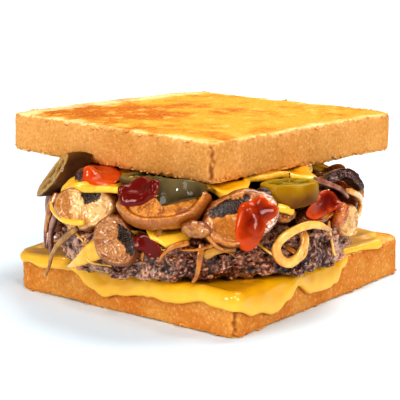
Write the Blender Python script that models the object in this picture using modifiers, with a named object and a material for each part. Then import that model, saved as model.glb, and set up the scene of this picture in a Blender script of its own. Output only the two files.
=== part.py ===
"""A patty melt: a beef patty on melted cheese between two thick slices of pan bread, under a heap
of fried mushrooms and onions with jalapeno rings, ketchup and a second slice of cheese.

Metres, +Z up. The origin is the middle of the lower slice's underside, and the lower slice's sides
lie along X and Y. Every topping is placed by its angle round the patty, its distance from the
patty's axis and its height. Two solids that touch keep the air of GAP between them.
"""
import math

import bmesh
import bpy
from mathutils import Matrix, Vector, noise
from mathutils.bvhtree import BVHTree

MM = 0.001
GAP = 0.3 * MM

# Bread: thick-cut pan bread, about 4.5 in square and 5/8 in thick. One upright edge of each slice,
# where the loaf sat in the pan's corner, is nearly sharp.
BOTTOM_SIZE = (110.9 * MM, 119.5 * MM, 15.4 * MM)
TOP_SIZE = (118.4 * MM, 113.3 * MM, 15.0 * MM)
TOP_CENTRE = (-14.65 * MM, 10.48 * MM)
TOP_UNDERSIDE = 52.0 * MM
TOP_YAW = math.radians(-5.5)
SHARP_CORNER = 3.0 * MM
ROUND_CORNER = 9.0 * MM
BREAD_CORNERS = {
    (1, -1): SHARP_CORNER,
    (1, 1): ROUND_CORNER,
    (-1, 1): ROUND_CORNER,
    (-1, -1): ROUND_CORNER,
}
RIM_BEVEL = 1.2 * MM

# Patty: a hand-pressed disc a little wider than the bread, level on top out to PATTY_LEVEL.
PATTY_AXIS = (5.0 * MM, -13.0 * MM)
PATTY_RADIUS = 58.0 * MM
PATTY_UNEVEN = 2.0 * MM
PATTY_FOOT = 17.8 * MM
PATTY_TOP = 36.5 * MM
PATTY_LEVEL = 48.0 * MM

# Cheese: processed slices, melted. A sheet that drapes over an edge keeps a little more than GAP.
CHEESE_THICK = 1.5 * MM
CHEESE_GAP = 0.55 * MM
LOW_CHEESE_Z = BOTTOM_SIZE[2] + CHEESE_GAP
LOW_CHEESE_BEND = RIM_BEVEL + CHEESE_GAP
MID_CHEESE_Z = PATTY_TOP + CHEESE_GAP
MID_CHEESE_BEND = PATTY_RADIUS + PATTY_UNEVEN + CHEESE_GAP - PATTY_LEVEL
TOP_CHEESE_Z = 50.0 * MM

# Heap of fried mushrooms and onions between the two upper sheets of cheese.
HEAP_RADIUS = 49.5 * MM
HEAP_UNEVEN = 6.0 * MM
HEAP_FOOT = MID_CHEESE_Z + CHEESE_THICK + GAP
HEAP_TOP = 46.2 * MM

JALAPENO_RADIUS = 10.5 * MM
JALAPENO_STEPS = 13

# Unevenness: how many bumps an outline has and how large they are, as a share of its reach. SEED_STEP
# sets each piece's apart from the next one's.
LUMP_WAVES = 2.2
SLICE_WAVES, SLICE_ROUGH = 1.5, 0.10
OVAL_WAVES, OVAL_ROUGH = 1.3, 0.14
SEED_STEP = 7.3

# How far the lower cheese runs past the bread's edge, in millimetres down its side; a minus stops
# short of it. The angle is seen from the middle of the lower slice.
LOW_CHEESE_RUNS = [
    (-180, 3), (-168, 5.5), (-156, 2), (-146, 1.5), (-133, 1.5), (-128, 3), (-120, 5), (-110, 4.5),
    (-100, 7.5), (-94, 9), (-86, 6.5), (-75, 5.5), (-63, 5), (-54, 2.5), (-47, 4.5), (-42, 7),
    (-34, 9.5), (-28, 6), (-23, 2.5), (-14, 7.5), (-4, 8.5), (3, 7.5), (8, 2), (15, -2), (24, -1),
    (33, 0.5), (42, -9), (50, -12), (60, -9), (70, 1), (80, 5), (92, 3), (104, 7), (115, 4),
    (126, -5), (135, -10), (143, -3), (155, 4), (167, 6),
]

# How far the middle cheese runs from the patty's axis, in millimetres along the patty's skin. Its
# corners hang over the shoulder.
MID_CHEESE_REACH = [
    (-180, 50), (-168, 63), (-156, 50), (-90, 49), (-76, 53), (-65, 66), (-54, 51), (-30, 50),
    (0, 49), (60, 49), (110, 50), (120, 64), (130, 50),
]

# The upper cheese, in millimetres: how far it reaches from the patty's axis, how much lower it
# lies where jalapeno rings press on it, and how far its edge falls from there.
TOP_CHEESE_REACH = [
    (-180, 42), (-168, 56), (-154, 42), (-140, 44), (-126, 60), (-105, 59), (-86, 57), (-76, 42),
    (-60, 34), (-50, 44), (-43, 55), (-36, 52), (-27, 38), (-4, 38), (6, 49), (15, 42), (45, 40),
    (61, 57), (76, 40), (108, 40), (120, 57), (132, 40), (160, 40),
]
TOP_CHEESE_STEP = [
    (-180, 2.5), (-168, 1.5), (-148, 1.0), (-130, 1.5), (-112, 3.0), (-72, 3.0), (-55, 0.3),
    (0, 0), (60, 0.5), (80, 3.0), (120, 3.0), (140, 2.5), (160, 3.0),
]
TOP_CHEESE_FALL = [
    (-180, 1), (-168, 6), (-154, 2), (-140, 2), (-126, 5), (-110, -1), (-86, -1.5), (-75, 0),
    (-50, 1), (-43, 2.5), (-27, 0.5), (6, 2.0), (15, 1), (45, 1), (61, 7), (76, 0), (104, 0),
    (120, 6), (140, 1),
]
TOP_CHEESE_STEP_SPAN = (12.0 * MM, 25.0 * MM)
TOP_CHEESE_FALL_FROM = 40.0 * MM

# Below, "at" is a place for stand(): angle, distance, height, spin, tip, turn. Sizes are in
# millimetres. A mushroom slice's size is its width across the cap, the height of the dome and its
# thickness; margin is how deep the cap goes below its widest line, stem the stem's width and
# length, and bow how far the ends drop behind the middle along X and Y.
MUSHROOMS = {
    "mushroom_slice_01": dict(
        at=(-102, 57, 41.6, 184, -12, 24), size=(28, 9, 5), margin=6, stem=(0, 0), bow=(1.5, 1)
    ),
    "mushroom_slice_02": dict(
        at=(-67, 57, 46.2, 172, -42, 4), size=(37, 12, 6), margin=3, stem=(0, 0), bow=(5, 0)
    ),
    "mushroom_slice_03": dict(
        at=(-83, 60.4, 32, 118, -16, 14), size=(19, 8.5, 4), margin=6, stem=(0, 0), bow=(0.5, 2)
    ),
    "mushroom_slice_04": dict(
        at=(-39.5, 58, 41, 20, -18, -4), size=(31, 9.5, 5), margin=9, stem=(0, 0), bow=(2.5, 1)
    ),
    "mushroom_slice_05": dict(
        at=(26, 58, 46, -24, -30, -30), size=(19, 6, 5), margin=4, stem=(0, 0), bow=(3, 0)
    ),
    "mushroom_slice_06": dict(
        at=(19, 57, 32, -8, -4, -24), size=(15, 7, 4), margin=6, stem=(0, 0), bow=(3, 1)
    ),
    "mushroom_slice_07": dict(
        at=(30, 58.5, 39.5, -80, -6, -20), size=(17, 7, 4), margin=3, stem=(0, 0), bow=(3, 0)
    ),
    "mushroom_slice_08": dict(
        at=(-3, 55, 38.6, 186, -35, 4), size=(24, 7, 4), margin=4, stem=(0, 0), bow=(3, 0)
    ),
    "mushroom_slice_09": dict(
        at=(46, 57, 39.5, 150, -16, 0), size=(27, 11, 5), margin=4, stem=(8, 10), bow=(2, 1)
    ),
    "mushroom_slice_10": dict(
        at=(78, 56, 38.2, 20, -32, 0), size=(25, 12, 5), margin=4, stem=(8, 9), bow=(3, 1)
    ),
    "mushroom_slice_11": dict(
        at=(103, 57, 38.4, 195, -14, 0), size=(24, 11, 5), margin=3.5, stem=(7, 10), bow=(3, 0)
    ),
    "mushroom_slice_12": dict(
        at=(139, 57, 37.6, -28, -26, 0), size=(28, 12, 5.5), margin=4, stem=(9, 8), bow=(3, 1)
    ),
    "mushroom_slice_13": dict(
        at=(170, 57, 37.8, 35, -28, 0), size=(26, 12, 5), margin=4, stem=(8, 9), bow=(3, 1)
    ),
    "mushroom_slice_14": dict(
        at=(-153, 57, 38, 188, -14, 0), size=(23, 11, 5), margin=3.5, stem=(7, 9), bow=(2, 1)
    ),
}

# Loose lumps: a stem's end and crumbs of mushroom. size is width, height and depth.
LUMPS = {
    "mushroom_stem_01": dict(at=(-54.5, 61.5, 38.3, -8, 0, 0), size=(11, 6.5, 6)),
    "mushroom_bit_01": dict(at=(-21, 57, 40.5, 10, -10, 0), size=(8.5, 5.5, 4)),
    "mushroom_bit_02": dict(at=(10, 58.5, 36.5, 60, 0, -10), size=(9, 6, 4)),
    "mushroom_bit_03": dict(at=(-126, 58, 33, 80, 0, 20), size=(13, 7, 6)),
}

# Onion strips: a route of (angle, distance, height). size is width and thickness; lean turns the
# broad side away from facing straight out.
ONIONS = {
    "onion_loop_01": dict(
        route=[
            (3, 60.5, 33.2), (-6, 61, 35.4), (-13, 62, 36.4), (-19, 62.6, 36.2), (-25, 63, 33.6),
            (-28.6, 63, 30.2), (-28.4, 63, 26.4), (-25, 63, 24.0), (-20.5, 62.6, 24.4),
            (-16.6, 61.8, 27.0), (-14, 60.8, 30.4),
        ],
        size=(4.4, 1.5),
        lean=0,
    ),
    "onion_strip_01": dict(
        route=[(-52, 60.3, 28), (-49, 60.6, 30.2), (-45, 60.6, 31.4), (-41, 60.3, 31)],
        size=(3.6, 1.5),
        lean=0,
    ),
    "onion_strip_02": dict(
        route=[
            (-52.5, 60.3, 33), (-53.1, 61, 28.7), (-53.6, 61, 24.4), (-54.5, 60.4, 20.6),
            (-55.9, 59.6, 18.6),
        ],
        size=(2.8, 1.6),
        lean=10,
    ),
    "onion_strip_03": dict(
        route=[(-66, 60.8, 27), (-61.6, 61, 31), (-57.6, 60.4, 33.8)], size=(2.4, 1.3), lean=0
    ),
    "onion_strip_04": dict(
        route=[
            (-100, 60.6, 33.4), (-105, 62, 29.4), (-110, 63.3, 24.4), (-112, 64, 20.4),
            (-111, 63.8, 14.5), (-113.5, 64.4, 8.5),
        ],
        size=(3.0, 1.4),
        lean=0,
    ),
    "onion_strip_05": dict(
        route=[(-90.5, 61, 28.6), (-94, 62, 25.8), (-99, 62.4, 22.4), (-105, 61.6, 19.4)],
        size=(4.6, 1.5),
        lean=0,
    ),
    "onion_strip_06": dict(
        route=[(-131, 59.6, 39), (-133, 60.8, 34), (-135, 62, 28), (-136, 63, 21.8)],
        size=(4.4, 2.0),
        lean=0,
    ),
    "onion_strip_07": dict(
        route=[(-141, 60.2, 38), (-143, 61.2, 33), (-145, 62, 27), (-144, 62.4, 21)],
        size=(4.0, 1.8),
        lean=0,
    ),
    "onion_strip_08": dict(
        route=[(5, 53, 49), (10, 56, 46.6), (16, 58.6, 43), (22, 60.5, 38.5)],
        size=(4.0, 1.6),
        lean=0,
    ),
    "onion_strip_09": dict(
        route=[(62, 60, 34), (66, 61.4, 29), (73, 61.4, 26), (80, 61, 28.5), (84, 60, 33)],
        size=(3.6, 1.5),
        lean=0,
    ),
    "onion_strip_10": dict(
        route=[(98, 60.8, 26.5), (100, 61.4, 23.5), (99, 61.2, 20)], size=(3.6, 1.5), lean=0
    ),
    "onion_strip_11": dict(
        route=[(150, 60.8, 29), (153, 61.8, 25.5), (158, 61.8, 24), (163, 61, 26)],
        size=(4.0, 1.5),
        lean=0,
    ),
    "onion_strip_12": dict(
        route=[(184, 60.6, 31), (186, 61.6, 26), (184.5, 61.4, 20.5)], size=(3.2, 1.5), lean=0
    ),
    "onion_strip_13": dict(
        route=[(197, 60.6, 26), (201, 61.4, 23.5), (206, 61.4, 25)], size=(3.6, 1.5), lean=0
    ),
}

JALAPENOS = {
    "jalapeno_ring_01": dict(at=(-138, 57, 45, 0, -38, 9), thick=7),
    "jalapeno_ring_02": dict(at=(-85, 37, 50.4, 0, -90, 0), thick=2.6),
    "jalapeno_ring_03": dict(at=(-62, 47.5, 47.6, 0, -86, 4), thick=7.6),
    "jalapeno_ring_04": dict(at=(-15, 51.5, 47.4, 0, -90, 0), thick=8),
    "jalapeno_ring_05": dict(at=(100, 44, 50.2, 0, -90, 0), thick=2.8),
    "jalapeno_ring_06": dict(at=(166, 44, 50.2, 0, -90, 0), thick=2.8),
}

# Smears of ketchup: size is width, height and depth.
KETCHUP = {
    "ketchup_01": dict(at=(-98, 50.5, 51.3, 0, -86, 0), size=(13, 15, 2.2)),
    "ketchup_02": dict(at=(-75, 56, 50.5, 10, -48, 0), size=(13, 12, 3.4)),
    "ketchup_03": dict(at=(-75.5, 61, 30.4, 0, -8, 0), size=(9, 6, 2.5)),
    "ketchup_04": dict(at=(-34, 60.6, 40.5, -38, -16, -6), size=(9, 19, 3)),
    "ketchup_05": dict(at=(5, 57.4, 43.0, -20, -34, -10), size=(12, 11, 3.6)),
    "ketchup_06": dict(at=(118, 58, 47.4, 0, -50, 0), size=(14, 11, 3)),
}


def clear_scene():
    for old in list(bpy.data.objects):
        bpy.data.objects.remove(old, do_unlink=True)


def new_collection(name):
    made = bpy.data.collections.new(name)
    bpy.context.scene.collection.children.link(made)
    return made


def food_material(name, colour, roughness):
    made = bpy.data.materials.new(name)
    made.use_nodes = True
    shader = made.node_tree.nodes["Principled BSDF"]
    shader.inputs["Base Color"].default_value = (*colour, 1.0)
    shader.inputs["Roughness"].default_value = roughness
    shader.inputs["Metallic"].default_value = 0.0
    return made


def add_piece(name, bm, material):
    """A named object in the melt's collection from a bmesh, which is freed."""
    mesh = bpy.data.meshes.new(name)
    bm.to_mesh(mesh)
    bm.free()
    mesh.materials.append(material)
    piece = bpy.data.objects.new(name, mesh)
    MELT.objects.link(piece)
    return piece


def add_closed_piece(name, bm, material):
    bmesh.ops.recalc_face_normals(bm, faces=bm.faces)
    return add_piece(name, bm, material)


def apply_modifiers(piece):
    """Put the evaluated shape, in world metres, in the object's own mesh; drop its modifiers."""
    bpy.context.view_layer.update()
    seen = piece.evaluated_get(bpy.context.evaluated_depsgraph_get())
    shaped = bpy.data.meshes.new_from_object(seen)
    shaped.transform(piece.matrix_world)
    piece.modifiers.clear()
    piece.data = shaped
    piece.matrix_world = Matrix.Identity(4)


def eased(rows, angle):
    """The value at an angle in degrees of rows (angle, value), eased from row to row all round."""
    angle = (angle - rows[0][0]) % 360.0 + rows[0][0]
    closed = rows + [(rows[0][0] + 360.0, rows[0][1])]
    for (a, low), (b, high) in zip(closed, closed[1:]):
        if a <= angle <= b:
            u = (angle - a) / (b - a)
            return low + (high - low) * u * u * (3.0 - 2.0 * u)
    return rows[0][1]


def stand(theta, r, z, spin=0.0, tip=0.0, turn=0.0):
    """The place of a topping, in degrees and millimetres.

    Its own X points right as seen from outside, its Y up and its Z away from the patty's axis. It
    is spun about Z, then tipped about X (a plus sends its top out), then turned about Y (a plus
    turns its face to the right).
    """
    a = math.radians(theta)
    c, s = math.cos(a), math.sin(a)
    basis = Matrix(((-s, 0, c), (c, 0, s), (0, 1, 0))).to_4x4()
    spot = Vector((PATTY_AXIS[0] + r * MM * c, PATTY_AXIS[1] + r * MM * s, z * MM))
    spun = Matrix.Rotation(math.radians(spin), 4, "Z")
    tipped = Matrix.Rotation(math.radians(tip), 4, "X")
    turned = Matrix.Rotation(math.radians(turn), 4, "Y")
    return Matrix.Translation(spot) @ basis @ turned @ tipped @ spun


def uneven_reach(angle, waves, seed):
    """Noise from about -0.5 to 0.5 round an outline, the same at 0 and 360 degrees."""
    return noise.noise(Vector((math.cos(angle) * waves, math.sin(angle) * waves, seed)))


def upright_edges(bm, size, sign_x, sign_y):
    """The upright edge of a block centred on the origin at the corner its signs name."""
    almost_half = 0.499
    corner = [
        v
        for v in bm.verts
        if v.co.x * sign_x > size[0] * almost_half and v.co.y * sign_y > size[1] * almost_half
    ]
    return [e for e in bm.edges if all(v in corner for v in e.verts)]


def bread_slice(name, size, centre, yaw, underside, material):
    """A square slice with its own radius on each upright edge and a soft rim above and below."""
    bm = bmesh.new()
    bmesh.ops.create_cube(bm, size=1.0, matrix=Matrix.Diagonal((*size, 1.0)))
    for (sign_x, sign_y), radius in BREAD_CORNERS.items():
        edges = upright_edges(bm, size, sign_x, sign_y)
        bmesh.ops.bevel(bm, geom=edges, offset=radius, segments=4, profile=0.5, affect="EDGES")
    piece = add_closed_piece(name, bm, material)
    piece.location = (centre[0], centre[1], underside + size[2] / 2)
    piece.rotation_euler.z = yaw
    rim = piece.modifiers.new("Soft rim", "BEVEL")
    rim.width = RIM_BEVEL
    rim.segments = 2
    rim.limit_method = "ANGLE"
    rim.angle_limit = math.radians(60)
    apply_modifiers(piece)


def squashed_lump(name, radius, uneven, foot, top, around, edge_power, material):
    """A round lump about the patty's axis, flat above and below, with an uneven outline.

    edge_power is how square its upper edge is, from 1 for a dome towards 0 for a sharp edge.
    """
    bm = bmesh.new()
    bmesh.ops.create_uvsphere(bm, u_segments=around, v_segments=10, radius=1.0)
    middle, half = (foot + top) / 2, (top - foot) / 2
    flatness, waves_upward = 0.4, 0.6
    for v in bm.verts:
        angle = math.atan2(v.co.y, v.co.x)
        ring = math.hypot(v.co.x, v.co.y) ** flatness
        power = edge_power if v.co.z > 0 else edge_power / 2
        rise = math.copysign(abs(v.co.z) ** power, v.co.z)
        reach = ring * (radius + uneven * uneven_reach(angle, LUMP_WAVES, rise * waves_upward))
        v.co.x = PATTY_AXIS[0] + reach * math.cos(angle)
        v.co.y = PATTY_AXIS[1] + reach * math.sin(angle)
        v.co.z = middle + half * rise
    add_closed_piece(name, bm, material)


def loft(name, loops, material):
    """Skin closed loops of points, each joined to the next, and fill the first and the last."""
    bm = bmesh.new()
    rings = [[bm.verts.new(p) for p in loop] for loop in loops]
    count = len(loops[0])
    for low, high in zip(rings, rings[1:]):
        for k in range(count):
            following = (k + 1) % count
            bm.faces.new((low[k], low[following], high[following], high[k]))
    for ring in (rings[0], rings[-1]):
        hub = bm.verts.new(sum((v.co for v in ring), Vector()) / count)
        for k in range(count):
            bm.faces.new((ring[k], ring[(k + 1) % count], hub))
    add_closed_piece(name, bm, material)


def umbrella_outline(width, height, margin, stem_width, stem_length, points, seed):
    """A mushroom cut from top to bottom: a dome, the margin under it, and a stem if it has one."""
    tiny = 1e-6
    reach = []
    for k in range(points):
        a = 2 * math.pi * k / points
        c, s = math.cos(a), math.sin(a)
        dome = 1.0 / math.hypot(c / (width / 2), s / height)
        cap = dome if s >= 0 else min(dome, margin / max(-s, tiny))
        stem = min(stem_width / 2 / max(abs(c), tiny), stem_length / -s) if s < -tiny else 0.0
        reach.append(max(cap, stem) * (1.0 + SLICE_ROUGH * uneven_reach(a, SLICE_WAVES, seed)))
    outline = []
    for k in range(points):
        a = 2 * math.pi * k / points
        softened = (reach[k - 1] + 2 * reach[k] + reach[(k + 1) % points]) / 4
        outline.append((softened * math.cos(a), softened * math.sin(a)))
    return outline


def oval_outline(width, height, points, seed):
    outline = []
    for k in range(points):
        a = 2 * math.pi * k / points
        rough = 1.0 + OVAL_ROUGH * uneven_reach(a, OVAL_WAVES, seed)
        outline.append((width / 2 * rough * math.cos(a), height / 2 * rough * math.sin(a)))
    return outline


def pad(name, place, outline, thick, bow, rings, material):
    """A closed pad on a flat outline, bowed both ways.

    rings pairs shares of the outline's reach with shares of the half thickness there, from the
    inside out. bow is how far the ends drop behind the middle along X and along Y.
    """
    half_x = max(abs(x) for x, _ in outline)
    half_y = max(abs(y) for _, y in outline)
    front = list(rings)
    back = [(share, -depth) for share, depth in reversed(rings)]
    loops = []
    for share, depth in front + back:
        loop = []
        for x, y in outline:
            sag = share ** 2 * (bow[0] * (x / half_x) ** 2 + bow[1] * (y / half_y) ** 2)
            loop.append(place @ Vector((x * share, y * share, depth * thick / 2 - sag)))
        loops.append(loop)
    loft(name, loops, material)


def smooth_path(points, count):
    """Points on a Catmull-Rom curve through the given ones, evenly spaced in its parameter."""
    path = []
    last = len(points) - 1
    for k in range(count):
        t = last * k / (count - 1)
        i = min(int(t), last - 1)
        u = t - i
        before, here, there, after = (points[min(max(i + d, 0), last)] for d in (-1, 0, 1, 2))
        bend = (2 * before - 5 * here + 4 * there - after) * u ** 2
        twist = (3 * here - before - 3 * there + after) * u ** 3
        path.append(0.5 * (2 * here + (there - before) * u + bend + twist))
    return path


def onion_strip(name, route, size, lean, material):
    """A fried strip along a route, lens-shaped across, its broad side facing out."""
    section = ((-1.0, 0.0), (-0.55, 1.0), (0.55, 1.0), (1.0, 0.0), (0.55, -1.0), (-0.55, -1.0))
    stations = 2 * len(route) - 1
    axis = Vector((*PATTY_AXIS, 0.0))
    path = smooth_path([stand(*spot).translation for spot in route], stations)
    loops = []
    for k, point in enumerate(path):
        along = (path[min(k + 1, stations - 1)] - path[max(k - 1, 0)]).normalized()
        out = point - axis
        out.z = 0.0
        turned = Matrix.Rotation(math.radians(lean), 3, along)
        side = turned @ along.cross(out.normalized()).normalized()
        face = side.cross(along)
        from_middle = abs(2.0 * k / (stations - 1) - 1.0)
        taper = 0.35 + 0.65 * math.sqrt(1.0 - from_middle ** 6)
        half_width, half_thick = (s * MM / 2 * taper for s in size)
        loops.append([point + side * x * half_width + face * y * half_thick for x, y in section])
    loft(name, loops, material)


def jalapeno_ring(name, place, thick, material):
    """A slice across a pickled jalapeno: a firm wall round a sunken seed core on both cut faces."""
    profile = ((0.0, 0.30), (0.56, 0.30), (0.80, 0.50), (1.0, 0.42))
    upper = [(r * JALAPENO_RADIUS, z * thick * MM) for r, z in profile]
    lower = [(r, -z) for r, z in reversed(upper)]
    bm = bmesh.new()
    verts = [bm.verts.new((r, 0.0, z)) for r, z in upper + lower]
    for a, b in zip(verts, verts[1:]):
        bm.edges.new((a, b))
    piece = add_piece(name, bm, material)
    piece.matrix_world = place
    turned = piece.modifiers.new("Turned round its axis", "SCREW")
    turned.steps = JALAPENO_STEPS
    turned.render_steps = JALAPENO_STEPS
    turned.use_merge_vertices = True
    turned.merge_threshold = 0.01 * MM
    turned.use_normal_calculate = True
    apply_modifiers(piece)


def all_round(count, extra=()):
    """Evenly spaced angles in degrees, with the extra ones in place of the even ones near them."""
    step = 360.0 / count
    wanted = [a % 360.0 for a in extra]
    even = [k * step for k in range(count)]
    return sorted(wanted + [a for a in even if all(abs(a - b) > step * 0.45 for b in wanted)])


def melted_sheet(name, point_at, stations_at, angles, material):
    """A sheet of rays from its middle: one at each angle, through point_at(angle, distance) at the
    distances of stations_at(angle), given its thickness by Solidify."""
    bm = bmesh.new()
    hub = bm.verts.new(point_at(0.0, 0.0))
    rays = [[bm.verts.new(point_at(a, d)) for d in stations_at(a)] for a in angles]
    for k, ray in enumerate(rays):
        following = rays[(k + 1) % len(rays)]
        bm.faces.new((hub, ray[0], following[0]))
        for low, high, far_high, far_low in zip(ray, ray[1:], following[1:], following):
            bm.faces.new((low, high, far_high, far_low))
    piece = add_piece(name, bm, material)
    shell = piece.modifiers.new("Melted thickness", "SOLIDIFY")
    shell.thickness = CHEESE_THICK
    shell.offset = 1.0
    apply_modifiers(piece)


def bent_over(distance, level, bend):
    """Out and down for a sheet that lies level, then bends over an edge and hangs straight."""
    past = max(distance - level, 0.0)
    quarter = bend * math.pi / 2
    swing = min(past / quarter, 1.0) * math.pi / 2
    out = min(distance, level) + bend * math.sin(swing)
    return out, bend * (1.0 - math.cos(swing)) + max(past - quarter, 0.0)


def bread_edge(angle):
    """How far the lower slice's rounded outline lies from its middle at an angle in degrees."""
    a = math.radians(angle)
    c, s = math.cos(a), math.sin(a)
    half_x, half_y = BOTTOM_SIZE[0] / 2, BOTTOM_SIZE[1] / 2
    radius = BREAD_CORNERS[(1 if c >= 0 else -1, 1 if s >= 0 else -1)]
    tiny = 1e-9
    straight = min(half_x / max(abs(c), tiny), half_y / max(abs(s), tiny))
    in_x, in_y = half_x - radius, half_y - radius
    if abs(c) * straight <= in_x or abs(s) * straight <= in_y:
        return straight
    along = in_x * abs(c) + in_y * abs(s)
    return along + math.sqrt(max(along ** 2 - in_x ** 2 - in_y ** 2 + radius ** 2, 0.0))


def bread_corner_rays():
    """Angles of points along the lower slice's corners, so that the sheet bends round them."""
    rays = []
    for (sign_x, sign_y), radius in BREAD_CORNERS.items():
        for swing in (0, 30, 60, 90):
            x = BOTTOM_SIZE[0] / 2 - radius + radius * math.cos(math.radians(swing))
            y = BOTTOM_SIZE[1] / 2 - radius + radius * math.sin(math.radians(swing))
            rays.append(math.degrees(math.atan2(sign_y * y, sign_x * x)))
    return rays


def low_cheese_point(angle, distance):
    """A point on the bread's top, or past its rim down its side, a gap away from it."""
    a = math.radians(angle)
    level = bread_edge(angle) + CHEESE_GAP - LOW_CHEESE_BEND
    out, drop = bent_over(distance, level, LOW_CHEESE_BEND)
    return Vector((out * math.cos(a), out * math.sin(a), LOW_CHEESE_Z - drop))


def low_cheese_stations(angle):
    """Distances along a ray: on the bread's top, round its rim, and where the cheese ends."""
    still_level, least_step = 7.0 * MM, 0.9 * MM
    edge = bread_edge(angle)
    end = edge + eased(LOW_CHEESE_RUNS, angle) * MM
    level = edge + CHEESE_GAP - LOW_CHEESE_BEND
    quarter = LOW_CHEESE_BEND * math.pi / 2
    wanted = (level - still_level, level, level + quarter / 2, level + quarter)
    return [min(d, end - (4 - k) * least_step) for k, d in enumerate(wanted)] + [end]


def mid_cheese_point(angle, distance):
    """A point just outside the patty's top, shoulder or side, at a distance along its skin."""
    a = math.radians(angle)
    out, drop = bent_over(distance, PATTY_LEVEL, MID_CHEESE_BEND)
    x = PATTY_AXIS[0] + out * math.cos(a)
    return Vector((x, PATTY_AXIS[1] + out * math.sin(a), MID_CHEESE_Z - drop))


def mid_cheese_stations(angle):
    return [eased(MID_CHEESE_REACH, angle) * MM * share for share in (0.74, 0.83, 0.92, 1.0)]


def top_cheese_point(angle, distance):
    """A point of the sheet under the upper slice, lower where rings press on it and at its edge."""
    a = math.radians(angle)
    step_from, step_to = TOP_CHEESE_STEP_SPAN
    u = min(max((distance - step_from) / (step_to - step_from), 0.0), 1.0)
    pressed = eased(TOP_CHEESE_STEP, angle) * MM * u * u * (3.0 - 2.0 * u)
    span = eased(TOP_CHEESE_REACH, angle) * MM - TOP_CHEESE_FALL_FROM
    share = min(max((distance - TOP_CHEESE_FALL_FROM) / max(span, 1.0 * MM), 0.0), 1.0)
    fallen = eased(TOP_CHEESE_FALL, angle) * MM * share * share
    x = PATTY_AXIS[0] + distance * math.cos(a)
    return Vector((x, PATTY_AXIS[1] + distance * math.sin(a), TOP_CHEESE_Z - pressed - fallen))


def top_cheese_stations(angle):
    return [eased(TOP_CHEESE_REACH, angle) * MM * share for share in (0.35, 0.62, 0.84, 1.0)]


def add_mushrooms(material):
    slice_rings = ((0.86, 1.0), (1.0, 0.45))
    for number, (name, row) in enumerate(MUSHROOMS.items()):
        width, height, thick = (s * MM for s in row["size"])
        stem_width, stem_length = (s * MM for s in row["stem"])
        margin = row["margin"] * MM
        seed = number * SEED_STEP
        outline = umbrella_outline(width, height, margin, stem_width, stem_length, 16, seed)
        bow = [b * MM for b in row["bow"]]
        pad(name, stand(*row["at"]), outline, thick, bow, slice_rings, material)


def add_ovals(rows, rings, material):
    for number, (name, row) in enumerate(rows.items()):
        width, height, depth = (s * MM for s in row["size"])
        outline = oval_outline(width, height, 10, number * SEED_STEP)
        pad(name, stand(*row["at"]), outline, depth, (0, 0), rings, material)


def largest_shell(bm):
    """Delete every shell of a bmesh but the one with the most area."""
    left = set(bm.faces)
    shells = []
    while left:
        shell, front = set(), [left.pop()]
        while front:
            face = front.pop()
            shell.add(face)
            for near in {f for e in face.edges for f in e.link_faces} & left:
                left.discard(near)
                front.append(near)
        shells.append(shell)
    keep = max(shells, key=lambda shell: sum(f.calc_area() for f in shell))
    loose = [f for shell in shells if shell is not keep for f in shell]
    bmesh.ops.delete(bm, geom=loose, context="FACES")


def tidy_cut(piece):
    merge = 0.005 * MM
    bm = bmesh.new()
    bm.from_mesh(piece.data)
    bmesh.ops.remove_doubles(bm, verts=bm.verts, dist=merge)
    bmesh.ops.dissolve_degenerate(bm, edges=bm.edges, dist=merge)
    bmesh.ops.triangulate(bm, faces=bm.faces)
    largest_shell(bm)
    bm.to_mesh(piece.data)
    bm.free()


def grown_cutter(piece):
    """The piece's shape with every point moved out by the gap, as a cutter."""
    mesh = piece.data.copy()
    away = [v.normal.copy() for v in mesh.vertices]
    for v, normal in zip(mesh.vertices, away):
        v.co += normal * GAP
    cutter = bpy.data.objects.new(piece.name + "_cutter", mesh)
    cutter.hide_render = True
    cutter.display_type = "WIRE"
    CUTTERS.objects.link(cutter)
    return cutter


def skin_tree(mesh):
    return BVHTree.FromPolygons([v.co for v in mesh.vertices], [p.vertices for p in mesh.polygons])


def tuck_together(order):
    """Each piece makes room for those before it in the order, losing what they and GAP take."""
    cutters = []
    for name in order:
        piece = bpy.data.objects[name]
        for cutter in cutters:
            if not skin_tree(piece.data).overlap(skin_tree(cutter.data)):
                continue
            cut = piece.modifiers.new("Room for " + cutter.name, "BOOLEAN")
            cut.operation = "DIFFERENCE"
            cut.solver = "EXACT"
            cut.object = cutter
            apply_modifiers(piece)
            tidy_cut(piece)
        cutters.append(grown_cutter(piece))


clear_scene()
MELT = new_collection("patty_melt")
CUTTERS = new_collection("cutters")

bread = food_material("toasted_bread", (0.78, 0.42, 0.13), 0.85)
beef = food_material("ground_beef", (0.16, 0.07, 0.05), 0.6)
cheese = food_material("melted_cheese", (1.0, 0.52, 0.02), 0.35)
mushroom = food_material("fried_mushroom", (0.5, 0.24, 0.09), 0.45)
onion = food_material("fried_onion", (0.75, 0.36, 0.08), 0.35)
jalapeno = food_material("pickled_jalapeno", (0.2, 0.2, 0.04), 0.35)
ketchup = food_material("ketchup", (0.6, 0.04, 0.01), 0.2)

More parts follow.
